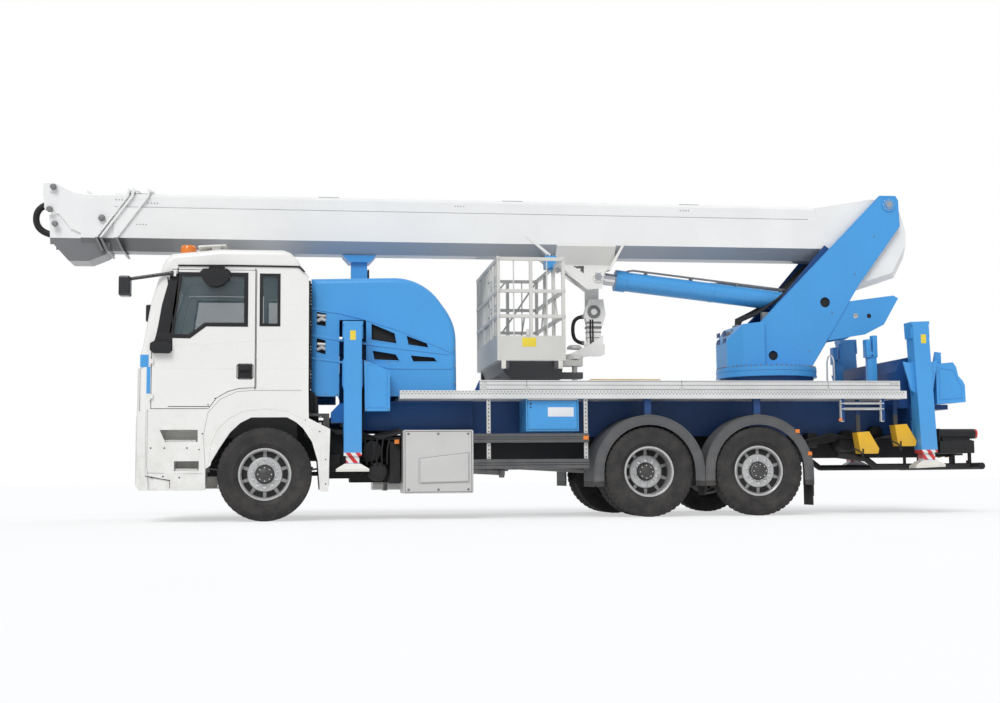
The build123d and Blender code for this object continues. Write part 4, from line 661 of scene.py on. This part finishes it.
# Outrigger columns: blank stickers, bolts and edge lines, and hoses up the back
rear_top = 7975 - (2200 - 600) * COLUMN_LEAN
y = COLUMN_SIDE
for Shape.side, name in SIDES:
    s.box(965, 1030, y, y + 0.8, 2080, 2190)
    s.done(f"sticker_front_{name}", "label", f"outrigger_front_{name}")
    s.bolts_y(row(920, 1075, 3, 2255) + [(930, 820), (1065, 820)], y - 0.5, 0.8, 9, 8)
    s.line([(903, 800), (903, 2085)], 8, y - 2, y + 0.8)
    s.line([(1092, 800), (1092, 2085)], 8, y - 2, y + 0.8)
    s.done(f"column_trim_front_{name}", "blue", f"outrigger_front_{name}")
    s.tube([(1108, 1085, 2050), (1118, 1085, 1600), (1112, 1085, 900)], 11, 8)
    s.tube([(1112, 1120, 2050), (1124, 1120, 1500), (1112, 1120, 900)], 9, 8)
    s.done(f"column_hose_front_{name}", "hose", f"outrigger_front_{name}")
    s.box(rear_top + 30, rear_top + 95, y, y + 0.8, 2080, 2190)
    s.done(f"sticker_rear_{name}", "label", f"outrigger_rear_{name}")
    # Covers by the columns: a raised rim round a blank field, and screws
    s.band([(1165, 1300), (1392, 1300), (1392, 1790), (1165, 1800)], 10, 1223, 1231)
    s.done(f"front_cover_rim_{name}", "blue", bevel=3)
    s.bolts_y([(1150, 1830), (1410, 1815), (1150, 1275), (1410, 1275)], 1224, 7, 9, 6)
    s.done(f"front_cover_screws_{name}", "steel")
    s.band([(8230, 1400), (8520, 1420), (8515, 1560), (8470, 1640), (8420, 1760), (8240, 1790)],
           10, 1098, 1106)
    s.done(f"rear_cover_rim_{name}", "blue", bevel=3)

# Silver box: raised blank panel in its fold, painted shade along the fold, rivets and the door line
s.prism_y([(1775, 700), (2335, 765), (2335, 440), (1775, 430)], -1276, -BODY_SIDE)
s.done("side_box_panel", "silver", bevel=14, segments=3)
s.band([(1760, 705), (2350, 774), (2350, 430), (1760, 416)], 7, -1250.5, -BODY_SIDE)
s.done("side_box_fold_shade", "seam")
s.bolts_y([(x, z) for x in (1640, 1985, 2335) for z in (345, 990)], -BODY_SIDE, -7, 15, 12)
s.done("side_box_rivets", "steel", bevel=1)
s.band([(1600, 318), (2375, 318), (2375, 1018), (1600, 1018)], 5, -1251, -BODY_SIDE)
s.done("side_box_gap", "dark")
# Tank on the far side: straps and filler cap
for x in (1480, 2140):
    s.prism_x([(690, 320), (1200, 320), (1254, 380), (1254, 910), (1200, 970), (690, 970)], x - 25, x + 25)
s.done("tank_straps", "steel", bevel=4)
s.lathe_z(1800, 1120, [(955, 70), (990, 70), (992, 55), (1005, 55), (1008, 40)], 28)
s.done("tank_cap", "plastic", bevel=2)

# Deck: studded edge, painted shade in the rail grooves, dark rail joints, front wedge, plate seams, the
# board and the hoop
for Shape.side in (-1, 1):
    for k in range(150):
        for z in (1456, 1478):
            x = 1560 + 41 * k + (20 if z > 1460 else 0)
            s.box(x - 9, x + 9, BODY_SIDE + 0.5, BODY_SIDE + 1.8, z - 5, z + 5)
s.done("deck_edge_studs", "steel")
for Shape.side in (-1, 1):
    for z in (1508, 1560, 1603):
        s.box(2484, 7666, RAIL_SIDE, RAIL_SIDE + 2, z, z + 4)
    for x in RAIL_JOINTS:
        s.box(x - 2, x + 2, RAIL_SIDE, RAIL_SIDE + 2.5, 1442, 1618)
s.done("rail_groove_shade_and_joints", "dark")
for Shape.side in (-1, 1):
    for x in RAIL_JOINTS:
        s.box(x - 34, x + 34, 1200, 1210, 1500, 1532)
        s.bolts_y([(x - 20, 1516), (x + 20, 1516)], 1210, 5, 8)
    s.box(7540, 7640, 1200, 1212, 1585, 1612)
    s.box(2500, 2560, 1200, 1210, 1500, 1600)
s.done("rail_brackets", "silver", bevel=1)
both(s.prism_y, [(2398, 1441), (2479, 1441), (2479, 1618)], 1140, 1198)
s.done("deck_wedge", "navy", bevel=2)
for x in range(2700, 7600, 350):
    both(s.box, x, x + 5, 700, 1138, 1439.5, 1441.5)
for k in range(9):
    for j in range(3):
        both(s.lathe_z, 2800 + 520 * k, 780 + 130 * j, [(1439.8, 12), (1441.5, 10)], 8)
s.done("deck_seams", "steel")
s.box(3850, 4700, -1040, -860, 1621, 1648)
s.done("board", "wood", bevel=4)
for Shape.side, name in SIDES:
    for x in (3950, 4600):
        s.box(x - 25, x + 25, 1139, 1145, 1560, 1618)
    s.done(f"board_cleats_{name}", "steel", bevel=2)
for x in (3850, 4650):
    s.box(x, x + 50, -1140, -860, 1600, 1622)
s.done("board_supports", "steel", bevel=2)
s.tube([(6753, -1170, 1618), (6756, -1170, 1850), (6772, -1170, 1910), (6800, -1170, 1934),
        (6828, -1170, 1910), (6843, -1170, 1850), (6844, -1170, 1618)], 10, 12)
s.done("deck_hoop", "chrome")

# Between the front columns and the long subframe: frame plates, tanks, pipes, looms and exhaust
for Shape.side in (-1, 1):
    s.box(1112, 2455, 640, 660, 1050, 1399)
    s.box(1112, 2455, 600, 700, 1050, 1070)
    s.box(1112, 2455, 600, 700, 1380, 1399)
s.done("subframe_front_plates", "navy", bevel=3)
for x, z, r in ((1230, 800, 120), (1300, 560, 110)):
    s.lathe_y(x, z, [(-1050, r * 0.6), (-1040, r * 0.92), (-1015, r), (-500, r), (-475, r * 0.92),
                     (-465, r * 0.6)], 24)
    for y in (-900, -620):
        s.lathe_y(x, z, [(y, r + 6), (y + 30, r + 6)], 24)
s.box(1000, 1560, -1010, -470, 930, 960)
s.box(1100, 1130, -760, -440, 520, 940)
s.box(1440, 1560, -980, -560, 420, 920)
s.box(1130, 1400, -800, -430, 690, 715)
s.box(620, 1000, -900, -760, 560, 1090)
s.box(640, 860, -1000, -900, 620, 760)
s.box(700, 1590, -470, -425, 480, 1000)
s.box(1000, 1500, -430, 430, 430, 760)
s.box(1500, 2400, -380, 380, 500, 760)
s.box(1590, 2390, -690, -440, 420, 1000)
s.done("air_tanks_left", "plastic", bevel=5)
for k in range(7):
    y = -1030 + 22 * k
    s.tube([(640 + 9 * k, y, 1120 - 12 * k), (820, y, 1000 + 14 * k), (1120, y - 6, 1010 - 16 * k),
            (1330, y, 940 + 12 * k), (1580, y, 1010 + 9 * k)], 9 + k % 3 * 3, 8)
for k in range(5):
    s.tube([(1150 + 70 * k, -1062, 940), (1140 + 66 * k, -1080, 800), (1170 + 58 * k, -1062, 640)], 11, 8)
s.done("pipe_loom_left", "hose")
s.box(1490, 1545, -1058, -1012, 880, 930)
s.done("side_marker_left", "amber", bevel=4)
s.rod((520, -1040, 1100), (520, -1040, 1480), 42, 16)
s.rod((580, -1060, 1120), (575, -1060, 1440), 30, 14)
for k in range(9):
    s.rod((520, -1040, 1130 + 36 * k), (520, -1040, 1148 + 36 * k), 50, 16)
s.box(492, 620, -1110, -960, 1060, 1120)
s.done("intake_pipes_left", "plastic", bevel=1)
for x in (1350, 1750, 2350):
    s.box(x, x + 220, 570, 860, 1030, 1130)
s.tube([(860, 760, 760), (860, 760, 960), (920, 780, 1040), (1120, 820, 1040)], 62, 16)
s.lathe_y(930, 700, [(560, 120), (580, 150), (1010, 150), (1030, 120)], 28)
s.done("exhaust_right", "steel", bevel=6)

# Side guards: bare metal posts, painted shade in their holes and in the grooves along the rails, and
# markers
dark = Shape()
for Shape.side in (-1, 1):
    for x in (2580, 3738):
        for z0, z1 in ((991, 1398), (691, 884)):
            s.box(x - 23, x + 23, 1219, 1222.5, z0, z1)
            for k in range(int((z1 - z0) / 45)):
                dark.lathe_y(x, z0 + 24 + 45 * k, [(1222, 8), (1223, 8)], 10)
    for z in (925, 950, 622, 648):
        dark.box(2404, 3764, BODY_SIDE, 1250.6, z - 3, z + 3)
s.done("guard_posts", "silver", bevel=1)
dark.done("guard_hole_and_groove_shade", "dark")
for Shape.side in (-1, 1):
    s.box(3700, 3762, BODY_SIDE, 1262, 915, 960)
    s.box(6300, 6352, BODY_SIDE, 1262, 985, 1030)
    s.box(6448, 6500, BODY_SIDE, 1262, 715, 760)
    s.box(6860, 6905, 1228, 1240, 1130, 1160)
s.done("side_markers", "amber", bevel=4)

# Mudguards: a raised band and two ribs over each wheel, bolts and flaps
for Shape.side in (-1, 1):
    for cx in (DRIVE_X, TAG_X):
        for r, wide, out in ((612, 116, 1251), (664, 14, 1254), (562, 12, 1254)):
            arch = [(cx + r * cos(t), AXLE_Z + r * sin(t)) for t in (pi * k / 18 for k in range(19))]
            s.line([(cx + r, 365), *arch, (cx - r, 365)], wide, 1247, out)
        s.bolts_y([(cx + 636 * cos(t), AXLE_Z + 636 * sin(t)) for t in (0.35, 1.0, 1.57, 2.14, 2.8)],
                  BODY_SIDE, 6, 9)
s.done("mudguard_ribs", "guard", bevel=1)
for Shape.side in (-1, 1):
    s.box(6500, 6512, 935, 1235, 120, 425)
    s.box(5170, 5180, 940, 1230, 250, 560)
s.done("mud_flaps", "plastic", bevel=2)

# Control box: blank plate, lid line, hinges and lock
s.box(3290, 3600, -1191.5, -1189.5, 1190, 1300)
s.done("control_box_plate", "plate", bevel=0.5)
s.band([(3050, 1040), (3640, 1040), (3640, 1380), (3050, 1380)], 5, -1191, -1189.5)
s.lathe_y(3085, 1340, [(-1189, 12), (-1194, 12)], 12)
s.lathe_y(3085, 1300, [(-1189, 9), (-1193, 9)], 12)
s.done("control_box_fittings", "dark")
for x in (3120, 3520):
    s.rod((x, -1192, 1392), (x + 60, -1192, 1392), 8)
s.box(3045, 3645, -1200, -1180, 1384, 1398)
s.done("control_box_hinges", "silver", bevel=1)

# Turret: ring of bolts, beads, pins, dark discs of painted shade in the recesses, plate edges, liners,
# valve block, hoses and hatches
for x, y in circle(SLEW_X, 0, 622, 60):
    s.lathe_z(x, y, [(1849, 13), (1864, 13), (1868, 9)], 6)
s.done("ring_bolts", "steel", "turret")
s.lathe_z(SLEW_X, 0, [(1728, 641), (1728, 646), (1742, 646), (1742, 641)], 96)
s.lathe_z(SLEW_X, 0, [(1800, 641), (1800, 645), (1806, 645), (1806, 641)], 96)
s.done("ring_beads", "blue", "turret")
pins = Shape()
for Shape.side in (-1, 1):
    # Painted shade: dark discs where the pin recesses are
    s.lathe_y(6360, 2000, [(334, 61), (338, 61)], 40)
    s.lathe_y(*LIFT_FOOT, [(339, 65), (342, 65)], 40)
    s.lathe_y(7660, 2520, [(349, 30), (351, 30)], 32)
    pins.lathe_y(*BOOM_PIN, [(371, 58), (377, 58), (377, 44), (388, 40), (390, 22)], 36)
    pins.lathe_y(7479, 2520, [(349, 34), (354, 34), (356, 26)], 32)
    pins.bolts_y(circle(*BOOM_PIN, 74, 8), 371, 5, 7)
s.done("turret_recess_shade", "dark", "turret")
pins.done("turret_pins", "chrome", "turret")
outline = [(7855, 4100), (8070, 4100), (8105, 4040), (8115, 3700), (7550, 2950), (6860, 1850),
           (6200, 1850), (6200, 2430)]
inner = [(x + (7200 - x) * 0.012, z + (2900 - z) * 0.012) for x, z in outline]
both(s.band, inner, 9, 359.5, 362)
s.done("turret_plate_edges", "blue", "turret", bevel=1)
both(s.prism_y, [(6240, 2440), (6700, 2980), (7100, 3440), (7180, 3380), (6800, 2900), (6420, 2440)],
     296, 319)
s.done("turret_liners", "navy", "turret", bevel=2)
s.box(5850, 6010, -150, 150, 2215, 2330)
s.box(5960, 6100, -110, 60, 2330, 2420)
for k in range(6):
    s.rod((5862, -125 + 50 * k, 2250), (5836, -125 + 50 * k, 2250), 13)
    s.rod((5900 + 18 * k, -90, 2330), (5900 + 18 * k, -90, 2362), 9)
s.box(6240, 6330, -330, -250, 2450, 2560)
s.done("valve_block", "steel", "turret", bevel=3)
for k in range(6):
    y = -120 + 48 * k
    s.tube([(5960 + 12 * k, y, 2330), (6030, y, 2470 + 8 * k), (6240, y * 1.4, 2560 + 10 * k),
            (6520, y * 1.8, 2760), (6900, y * 2.1, 3080 + 12 * k), (7240, y * 2.2, 3420)], 14, 10)
for k in range(4):
    s.tube([(5840, -75 + 50 * k, 2250), (5800, -90 + 60 * k, 2180), (5812, -100 + 66 * k, 2060),
            (5800, -100 + 66 * k, 1960)], 12, 8)
s.done("turret_hoses", "hose", "turret")
for Shape.side in (-1, 1):
    s.tube([(7100, 300, 2200), (7500, 300, 2900), (7800, 300, 3420)], 16, 10)
    s.bolts_y([(6840, 2060), (7160, 2560), (7480, 3060), (7760, 3560)], 360, 5, 10)
s.done("turret_fittings", "steel", "turret")
for Shape.side in (-1, 1):
    for z in (2180, 2270):
        s.box(5788, 5795, 60, 200, z, z + 60)
s.done("turret_hatches", "navy", "turret", bevel=3)

# Boom: a grey line of painted shade along the crease in its side, rows of rivets, pads and pipes on top,
# head pins, collar lugs and beads at the root
both(s.box, -1848, 6900, 284, 286.2, 3776, 3783)
s.done("boom_crease_shade", "seam", "boom")
for Shape.side in (-1, 1):
    for x, z in ((-1830, 3866), (-1450, 3832), (-1577, 3566), (2300, 3866), (5200, 3866)):
        y = 278 if z > 3780 else 285
        s.bolts_y([(x + 36 * k, z) for k in range(4)], y, 4, 7, 8)
s.done("boom_rivets", "steel", "boom")
for x in (-1700, 600, 2900, 5200):
    both(s.box, x, x + 260, 120, 235, 3951, 3957)
for Shape.side in (-1, 1):
    s.rod((-1500, 60, 3962), (6800, 60, 3962), 11, 8)
    for x in range(-1400, 6800, 820):
        s.box(x, x + 30, 42, 78, 3948, 3976)
s.done("boom_top_pipes", "steel", "boom", bevel=1)
both(s.lathe_y, -1993, 3638, [(284, 42), (292, 42), (294, 30), (300, 30), (302, 18)], 28)
s.done("head_cap", "steel", "boom")
for Shape.side in (-1, 1):
    for x, z in ((-2568, 4010), (-2605, 3736), (-2540, 3560)):
        s.lathe_y(x, z, [(255, 36), (297, 36), (300, 28), (306, 20)], 28)
s.done("head_pins", "steel", "boom")
for dx in (-2180, -1640, -1575, -1420):
    both(s.prism_y, [(dx, 3948), (dx + 60, 3948), (dx + 16, 3990), (dx - 4, 3996)], 180, 200)
s.done("collar_lugs", "white", "boom", bevel=2)
for Shape.side in (-1, 1):
    s.line([(7300, 3420), (7960, 3330), (8160, 3440)], 8, 284, 287)
    s.lathe_y(*BOOM_PIN, [(284, 120), (292, 120), (294, 105)], 36)
s.done("boom_root_beads", "white", "boom")


# Lift cylinder: gland, end cap, steel pipe along the barrel, eye pins
def on_lift(t, out=0.0, y=0.0):
    (fx, fz), (ex, ez) = LIFT_FOOT, LIFT_EYE
    length = hypot(ex - fx, ez - fz)
    ux, uz = (ex - fx) / length, (ez - fz) / length
    return (fx + ux * t + uz * out, y, fz + uz * t - ux * out)


for t0, t1, r in ((2560, 2699, 138), (120, 180, 131), (1400, 1440, 129)):
    s.rod(on_lift(t0), on_lift(t1), r, 40)
s.done("barrel_collars", "blue", "lift_barrel", bevel=3)
s.tube([on_lift(200, 128, -40), on_lift(240, 150, -40), on_lift(2480, 150, -40), on_lift(2560, 128, -40)],
       13, 10)
s.tube([on_lift(200, 128, 40), on_lift(300, 146, 40), on_lift(1300, 146, 40), on_lift(1380, 125, 40)],
       13, 10)
for t in (500, 1100, 1700, 2300):
    s.rod(on_lift(t, 135, -66), on_lift(t, 135, 66), 17, 10)
s.done("barrel_pipes", "steel", "lift_barrel")
for Shape.side in (-1, 1):
    s.lathe_y(*LIFT_EYE, [(134, 48), (142, 48), (143, 34), (146, 30)], 32)
    s.bolts_y(circle(*LIFT_EYE, 58, 6), 134, 6, 7)
s.done("eye_pins", "chrome", "boom")
for Shape.side in (-1, 1):
    s.band([(3814, 3160), (3969, 3162), (3966, 3055)], 8, 117, 120.5)
    s.line([(3700, 3090), (4000, 2870), (4184, 2868), (4222, 3080)], 10, 117, 120)
s.done("bracket_beads", "white", "boom", bevel=1)

# Jib: brackets, pipes along it with their clamps, and raised plates near its ends
for x in (-1370, 430, 2230):
    s.box(x - 14, x + 44, 532, 538, 3420, 3680)
    s.bolts_y([(x + 15, 3450), (x + 15, 3650)], 537, 5, 10)
s.rod((-2200, 560, 3640), (4200, 560, 3640), 14, 8)
s.rod((-2200, 560, 3600), (4200, 560, 3600), 11, 8)
for x in range(-2000, 4200, 620):
    s.box(x, x + 24, 519, 574, 3585, 3656)
s.done("jib_fittings", "steel", "boom", bevel=2)
for x in (-2290, 4120):
    s.band([(x, 3420), (x + 150, 3420), (x + 150, 3680), (x, 3680)], 8, 519.5, 523)
s.done("jib_plates", "white", "boom", bevel=1)

# Arm: pin caps, collars, cables and the rotator's cap
for y, out in ((140, -8), (250, 8)):
    s.lathe_y(4140, 2600, [(y, 86), (y + out, 86), (y + out * 1.2, 60), (y + out * 1.4, 30)], 32)
s.box(4045, 4235, 134, 256, 2450, 2475)
s.box(4040, 4240, 130, 260, 2385, 2415)
s.box(4046, 4234, 136, 254, 2330, 2345)
for z in (2150, 2260):
    s.box(4046, 4234, 137, 253, z, z + 10)
s.done("arm_collars", "steel", "basket_arm", bevel=3)
s.tube([(4090, 132, 2500), (4085, 128, 2330), (4095, 128, 2160), (4060, 70, 2110)], 10, 8)
s.tube([(4120, 132, 2500), (4120, 126, 2330), (4120, 128, 2160), (4080, 60, 2110)], 10, 8)
s.done("arm_cables", "hose", "basket_arm")
s.lathe_z(3850, 0, [(2100, 96), (2128, 96), (2134, 82), (2150, 70), (2150, 40)], 32)
s.box(3965, 4060, -76, -60, 2085, 2150)
s.done("rotator_cap", "silver", "basket_arm", bevel=3)

# Basket: bars, braces, corners, floor grid, blank sticker, console with levers, feet, plates and latches
for k in range(14):
    y = -900 + 1800 * k / 13
    if min(abs(y - c) for c in (-313, 353)) > 45:
        s.rod((2738, y, 2168), (2738, y, 3085), 9, 8)
for y in (-980, 980):
    for x in (2925, 3330):
        s.rod((x, y, 2168), (x, y, 3085), 8, 8)
s.rod((3060, 965, 2410), (3520, 965, 3085), 13, 10)
s.rod((2790, 965, 2700), (3100, 965, 3085), 13, 10)
s.rod((3530, -600, 2400), (3530, -200, 3085), 11, 10)
s.rod((3530, 600, 2400), (3530, 200, 3085), 11, 10)
for z in (2510, 2560, 2800, 2850, 2900):
    s.rod((2732, -900, z), (2732, -340, z), 7, 8)
for y in (-640, -560):
    s.rod((2728, y, 2200), (2728, y, 3060), 12, 8)
s.tube([(3060, -955, 2410), (3060, -700, 2200), (3060, -700, 2180)], 10, 8)
s.done("basket_bars", "basket", "basket")
for x in (2740, 3530):
    for y in (-980, 980):
        for z in (2385, 2690, 3080):
            s.box(x - 24, x + 24, y - 24, y + 24, z - 6, z + 46)
s.done("basket_corner_nodes", "silver", "basket", bevel=5)
for k in range(13):
    s.box(2750 + 62 * k, 2758 + 62 * k, -970, 970, 1901, 1910)
for k in range(24):
    s.box(2750, 3520, -960 + 82 * k, -954 + 82 * k, 1901, 1908)
s.done("basket_floor_grid", "steel", "basket")
s.box(3020, 3190, -1001.2, -999.8, 2035, 2145)
s.done("basket_sticker", "label", "basket", bevel=0.3)
s.box(3425, 3557, -420, -190, 3085, 3236)
s.prism_y([(3412, 3236), (3425, 3110), (3425, 3236)], -410, -200)
s.box(3470, 3520, -380, -230, 3060, 3090)
s.done("basket_console", "blue", "basket", bevel=6)
for j in range(3):
    for k in range(2):
        x, y = 3455 + 44 * k, -375 + 62 * j
        s.lathe_z(x, y, [(3234, 14), (3242, 14), (3242, 5), (3248, 5), (3249, 9), (3256, 8)], 12)
s.done("console_levers", "plastic", "basket", bevel=1)
for x in (2756, 3446):
    both(s.box, x + 12, x + 66, 1000, 1004, 1772, 1868)
s.done("basket_feet", "cream", "basket", bevel=3)
s.band([(2760, 1885), (3510, 1885), (3510, 2155), (2760, 2155)], 8, -1001, -999.5)
s.bolts_y([(2745, 1905), (3525, 1905), (2745, 2145), (3525, 2145)], -999, -5, 9)
s.box(3070, 3110, -1012, -999, 2170, 2250)
s.done("basket_plates", "basket", "basket", bevel=1)
for z in (2460, 2900):
    s.rod((2722, -330, z), (2722, -250, z), 13, 12)
s.box(2721, 2727, -300, -200, 2590, 2640)
s.box(3546, 3556, -150, 150, 2000, 2120)
s.done("basket_latches", "steel", "basket", bevel=2)
for y in range(-720, 721, 180):
    s.box(2900, 3520, y - 10, y + 10, 1655, 1664)
s.done("basket_tray_ribs", "plastic", "basket", bevel=2)


# Hoses: each follows the same points as its solid
def hose(name, body, node, points, radius):
    data = bpy.data.curves.new(name, "CURVE")
    data.dimensions = "3D"
    data.bevel_depth = radius / 1000
    data.bevel_resolution = 6
    data.resolution_u = 24
    data.use_fill_caps = True
    line = data.splines.new("NURBS")
    line.points.add(len(points) - 1)
    for q, point in zip(line.points, points):
        q.co = (*P(*point), 1)
    line.order_u = 3
    line.use_endpoint_u = True
    obj = bpy.data.objects.new(name, data)
    bpy.context.scene.collection.objects.link(obj)
    data.materials.append(M["hose"])
    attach(obj, body)
    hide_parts(node)


head_route = [(-2480.3, 0, 3870), (-2650, 0, 3870), (-2810, 0, 3770),
              (-2810, 0, 3570), (-2650, 0, 3460), (-2480.3, 0, 3460)]
hose("boom_head_hose", "boom", "head_hose", head_route, 40)
arm_route = [(4009.7, 195, 2540), (3949.7, 195, 2540), (3870, 195, 2470), (3870, 195, 2270),
             (3949.7, 195, 2200), (4009.7, 195, 2200)]
hose("basket_arm_hose", "basket_arm", "arm_hose", arm_route, 24)
for z in (3870, 3460):
    s.rod((-2481, 0, z), (-2520, 0, z), 48, 24)
    s.rod((-2500, 0, z), (-2512, 0, z), 56, 6)
s.done("head_hose_fittings", "steel", "boom")
for z in (2540, 2200):
    s.rod((4011, 195, z), (3985, 195, z), 29, 20)
s.done("arm_hose_fittings", "steel", "basket_arm")

# Rear: lamp housings, hooks, coupling jaw, reflectors, chock handles, ladder, tanks and catch posts
for Shape.side in (-1, 1):
    s.prism_y([(8232, 885), (8232, 742), (8640, 742), (8660, 790), (8655, 900)], 1040, 1052)
    for k in range(4):
        s.lathe_y(8290 + 90 * k, 810, [(1050, 22), (1056, 20), (1058, 8)], 16)
    s.box(8226, 8240, 900, 1045, 880, 1040)
s.done("lamp_housings", "plastic", bevel=4)
for y in (-134, 92):
    s.prism_y([(8700, 885), (8762, 885), (8778, 812), (8806, 790), (8800, 700), (8752, 690), (8745, 760),
               (8705, 775)], y, y + 42)
s.done("coupling_hooks", "yellow", bevel=5)
s.lathe_z(8870, 0, [(860, 60), (905, 60), (915, 40), (960, 32), (962, 10)], 24)
s.box(8986, 8999, -84, 84, 728, 852)
s.done("coupling_jaw", "plastic", bevel=4)
for Shape.side in (-1, 1):
    s.box(8736, 8742, 700, 820, 590, 650)
    s.box(8996, 8999.5, 30, 60, 780, 820)
s.done("rear_reflectors", "red", bevel=2)
s.box(8738, 8742, -260, 260, 556, 594)
s.done("rear_blank_plate", "plate", bevel=1)
for x0, z0 in ((7606, 825), (7120, 735)):
    s.box(x0 + 60, x0 + 80, -1156, -1150, z0 - 60, z0 + 60)
    s.tube([(x0 - 60, -1155, z0 + 70), (x0 + 40, -1160, z0 + 20), (x0 + 60, -1156, z0 - 40)], 9, 8)
s.done("chock_handles", "plastic", bevel=1)
for x in (6906, 7418):
    s.box(x - 6, x + 28, -1236, -1229, 1130, 1395)
    s.lathe_y(x + 10, 1392, [(-1226, 22), (-1240, 22)], 16)
s.done("ladder_hinges", "navy", bevel=2)
for z in (1262, 1328):
    s.rod((6890, -1236, z + 15), (7436, -1236, z + 15), 11, 10)
s.done("ladder_rungs", "chrome")
s.lathe_y(7180, 900, [(-760, 80), (-745, 125), (-720, 135), (-420, 135), (-400, 120)], 28)
s.lathe_y(7560, 1000, [(-700, 60), (-690, 90), (-430, 90)], 24)
s.box(6700, 7900, -520, -470, 1010, 1060)
s.box(6640, 6760, -760, -470, 820, 1000)
s.box(7300, 7520, -900, -470, 760, 800)
s.done("rear_tanks", "plastic", bevel=5)
for k in range(6):
    s.tube([(6560, -800 + 30 * k, 900 - 14 * k), (6900, -820 + 30 * k, 990 - 20 * k),
            (7400, -800 + 26 * k, 900 + 12 * k), (7800, -760 + 20 * k, 1000 - 12 * k)], 11, 8)
s.done("rear_pipe_loom", "hose")
for Shape.side in (-1, 1):
    s.box(7520, 7640, 520, 600, 1400, 1980)
    s.box(7500, 7560, 500, 620, 1960, 2190)
    s.box(7590, 7650, 510, 610, 1960, 2240)
    s.rod((7560, 625, 2010), (7560, 500, 2010), 26, 16)
s.done("rear_catch_posts", "blue", bevel=4)

# Running gear: springs, drive shafts and brake chambers
for Shape.side in (-1, 1):
    for k in range(4):
        n = 6 - k
        s.tube([(x, 430, 560 + 20 * k + (x * x) / 9000) for x in range(-110 * n, 110 * n + 1, 110)], 11, 8)
s.done("front_springs", "steel")
for x0, x1 in ((1500, 2900), (2950, 4300), (4700, 5650)):
    s.rod((x0, 0, 640), (x1, 0, 560), 55, 20)
    for x in (x0, x1):
        s.rod((x - 30, 0, 640 if x == x0 else 560), (x + 30, 0, 640 if x == x0 else 560), 85, 16)
s.done("drive_shafts", "steel", bevel=3)
for x in (DRIVE_X, TAG_X):
    both(s.lathe_z, x + 250, 330, [(560, 40), (580, 80), (660, 85), (680, 60), (740, 60), (760, 30)], 20)
s.done("brake_chambers", "plastic")

# Floor: pale paper that glows a little where the camera, a reflection or glass shows it
n = 24
rows = [[Vector((-60 + 120 * i / n, -40 + 140 * j / n, 0.0)) for i in range(n + 1)] for j in range(n + 1)]
s.hull(rows, closed=False, caps=False)
floor = s.done("studio_floor", "white")
m, nt, shader = tree("floor_paper")
paper = ramp(nt, noise(nt, outputs(nt, "TexCoord")["Object"], 0.4), 0.3, 0.7)
fill(nt, shader, {"Base Color": mix(nt, paper, (0.90, 0.90, 0.90), (0.92, 0.92, 0.92)), "Roughness": 0.95,
                  "Specular IOR Level": 0.0})
path = outputs(nt, "LightPath")
seen = calc(nt, "MAXIMUM", path["Is Camera Ray"], path["Is Glossy Ray"])
seen = calc(nt, "MAXIMUM", seen, path["Is Transmission Ray"])
glow = node(nt, "Emission", {"Color": (1, 1, 1), "Strength": 1.0})
shown = node(nt, "MixShader", {0: calc(nt, "MULTIPLY", seen, 0.55), 1: shader.outputs[0], 2: glow})
nt.links.new(shown, nt.nodes["Material Output"].inputs["Surface"])
floor.data.materials.clear()
floor.data.materials.append(m)

# World: plain light for the object and its reflections, white for the camera and through glass
world = bpy.data.worlds.new("studio")
bpy.context.scene.world = world
world.use_nodes = True
nt = world.node_tree
nt.nodes.clear()
path = outputs(nt, "LightPath")
seen = calc(nt, "MAXIMUM", path["Is Camera Ray"], path["Is Transmission Ray"])
light = node(nt, "Background", {"Color": (0.93, 0.96, 1.0), "Strength": 0.55})
plain = node(nt, "Background", {"Color": (1, 1, 1), "Strength": 1.0})
both = node(nt, "MixShader", {0: seen, 1: light, 2: plain})
nt.links.new(both, nt.nodes.new("ShaderNodeOutputWorld").inputs[0])


def sun(name, strength, angle, direction):
    data = bpy.data.lights.new(name, "SUN")
    data.energy = strength
    data.angle = radians(angle)
    lamp = bpy.data.objects.new(name, data)
    lamp.rotation_mode = "QUATERNION"
    lamp.rotation_quaternion = Vector(direction).to_track_quat("-Z", "Y")
    bpy.context.scene.collection.objects.link(lamp)


sun("key_light", 1.95, 30, (0.35, 0.80, -0.9))
sun("fill_light", 0.40, 60, (-0.6, -0.5, -0.7))

# Camera: the photograph's place and lens, looking a little up and turned a little to the rear
data = bpy.data.cameras.new("camera")
data.sensor_width = 36.0
data.lens = 49.64
data.clip_start, data.clip_end = 0.1, 500
camera = bpy.data.objects.new("camera", data)
bpy.context.scene.collection.objects.link(camera)
place = Vector((-2.587, -17.23, 0.493))
yaw, pitch, roll = radians(7.94), radians(5.17), radians(0.44)
ahead = Vector((sin(yaw) * cos(pitch), cos(yaw) * cos(pitch), sin(pitch)))
right = ahead.cross(Vector((0, 0, 1))).normalized()
up = right.cross(ahead)
right, up = right * cos(roll) - up * sin(roll), right * sin(roll) + up * cos(roll)
camera.matrix_world = Matrix.Translation(place) @ Matrix((right, up, -ahead)).transposed().to_4x4()
bpy.context.scene.camera = camera
bpy.context.scene.view_settings.view_transform = "Standard"

bpy.context.view_layer.update()
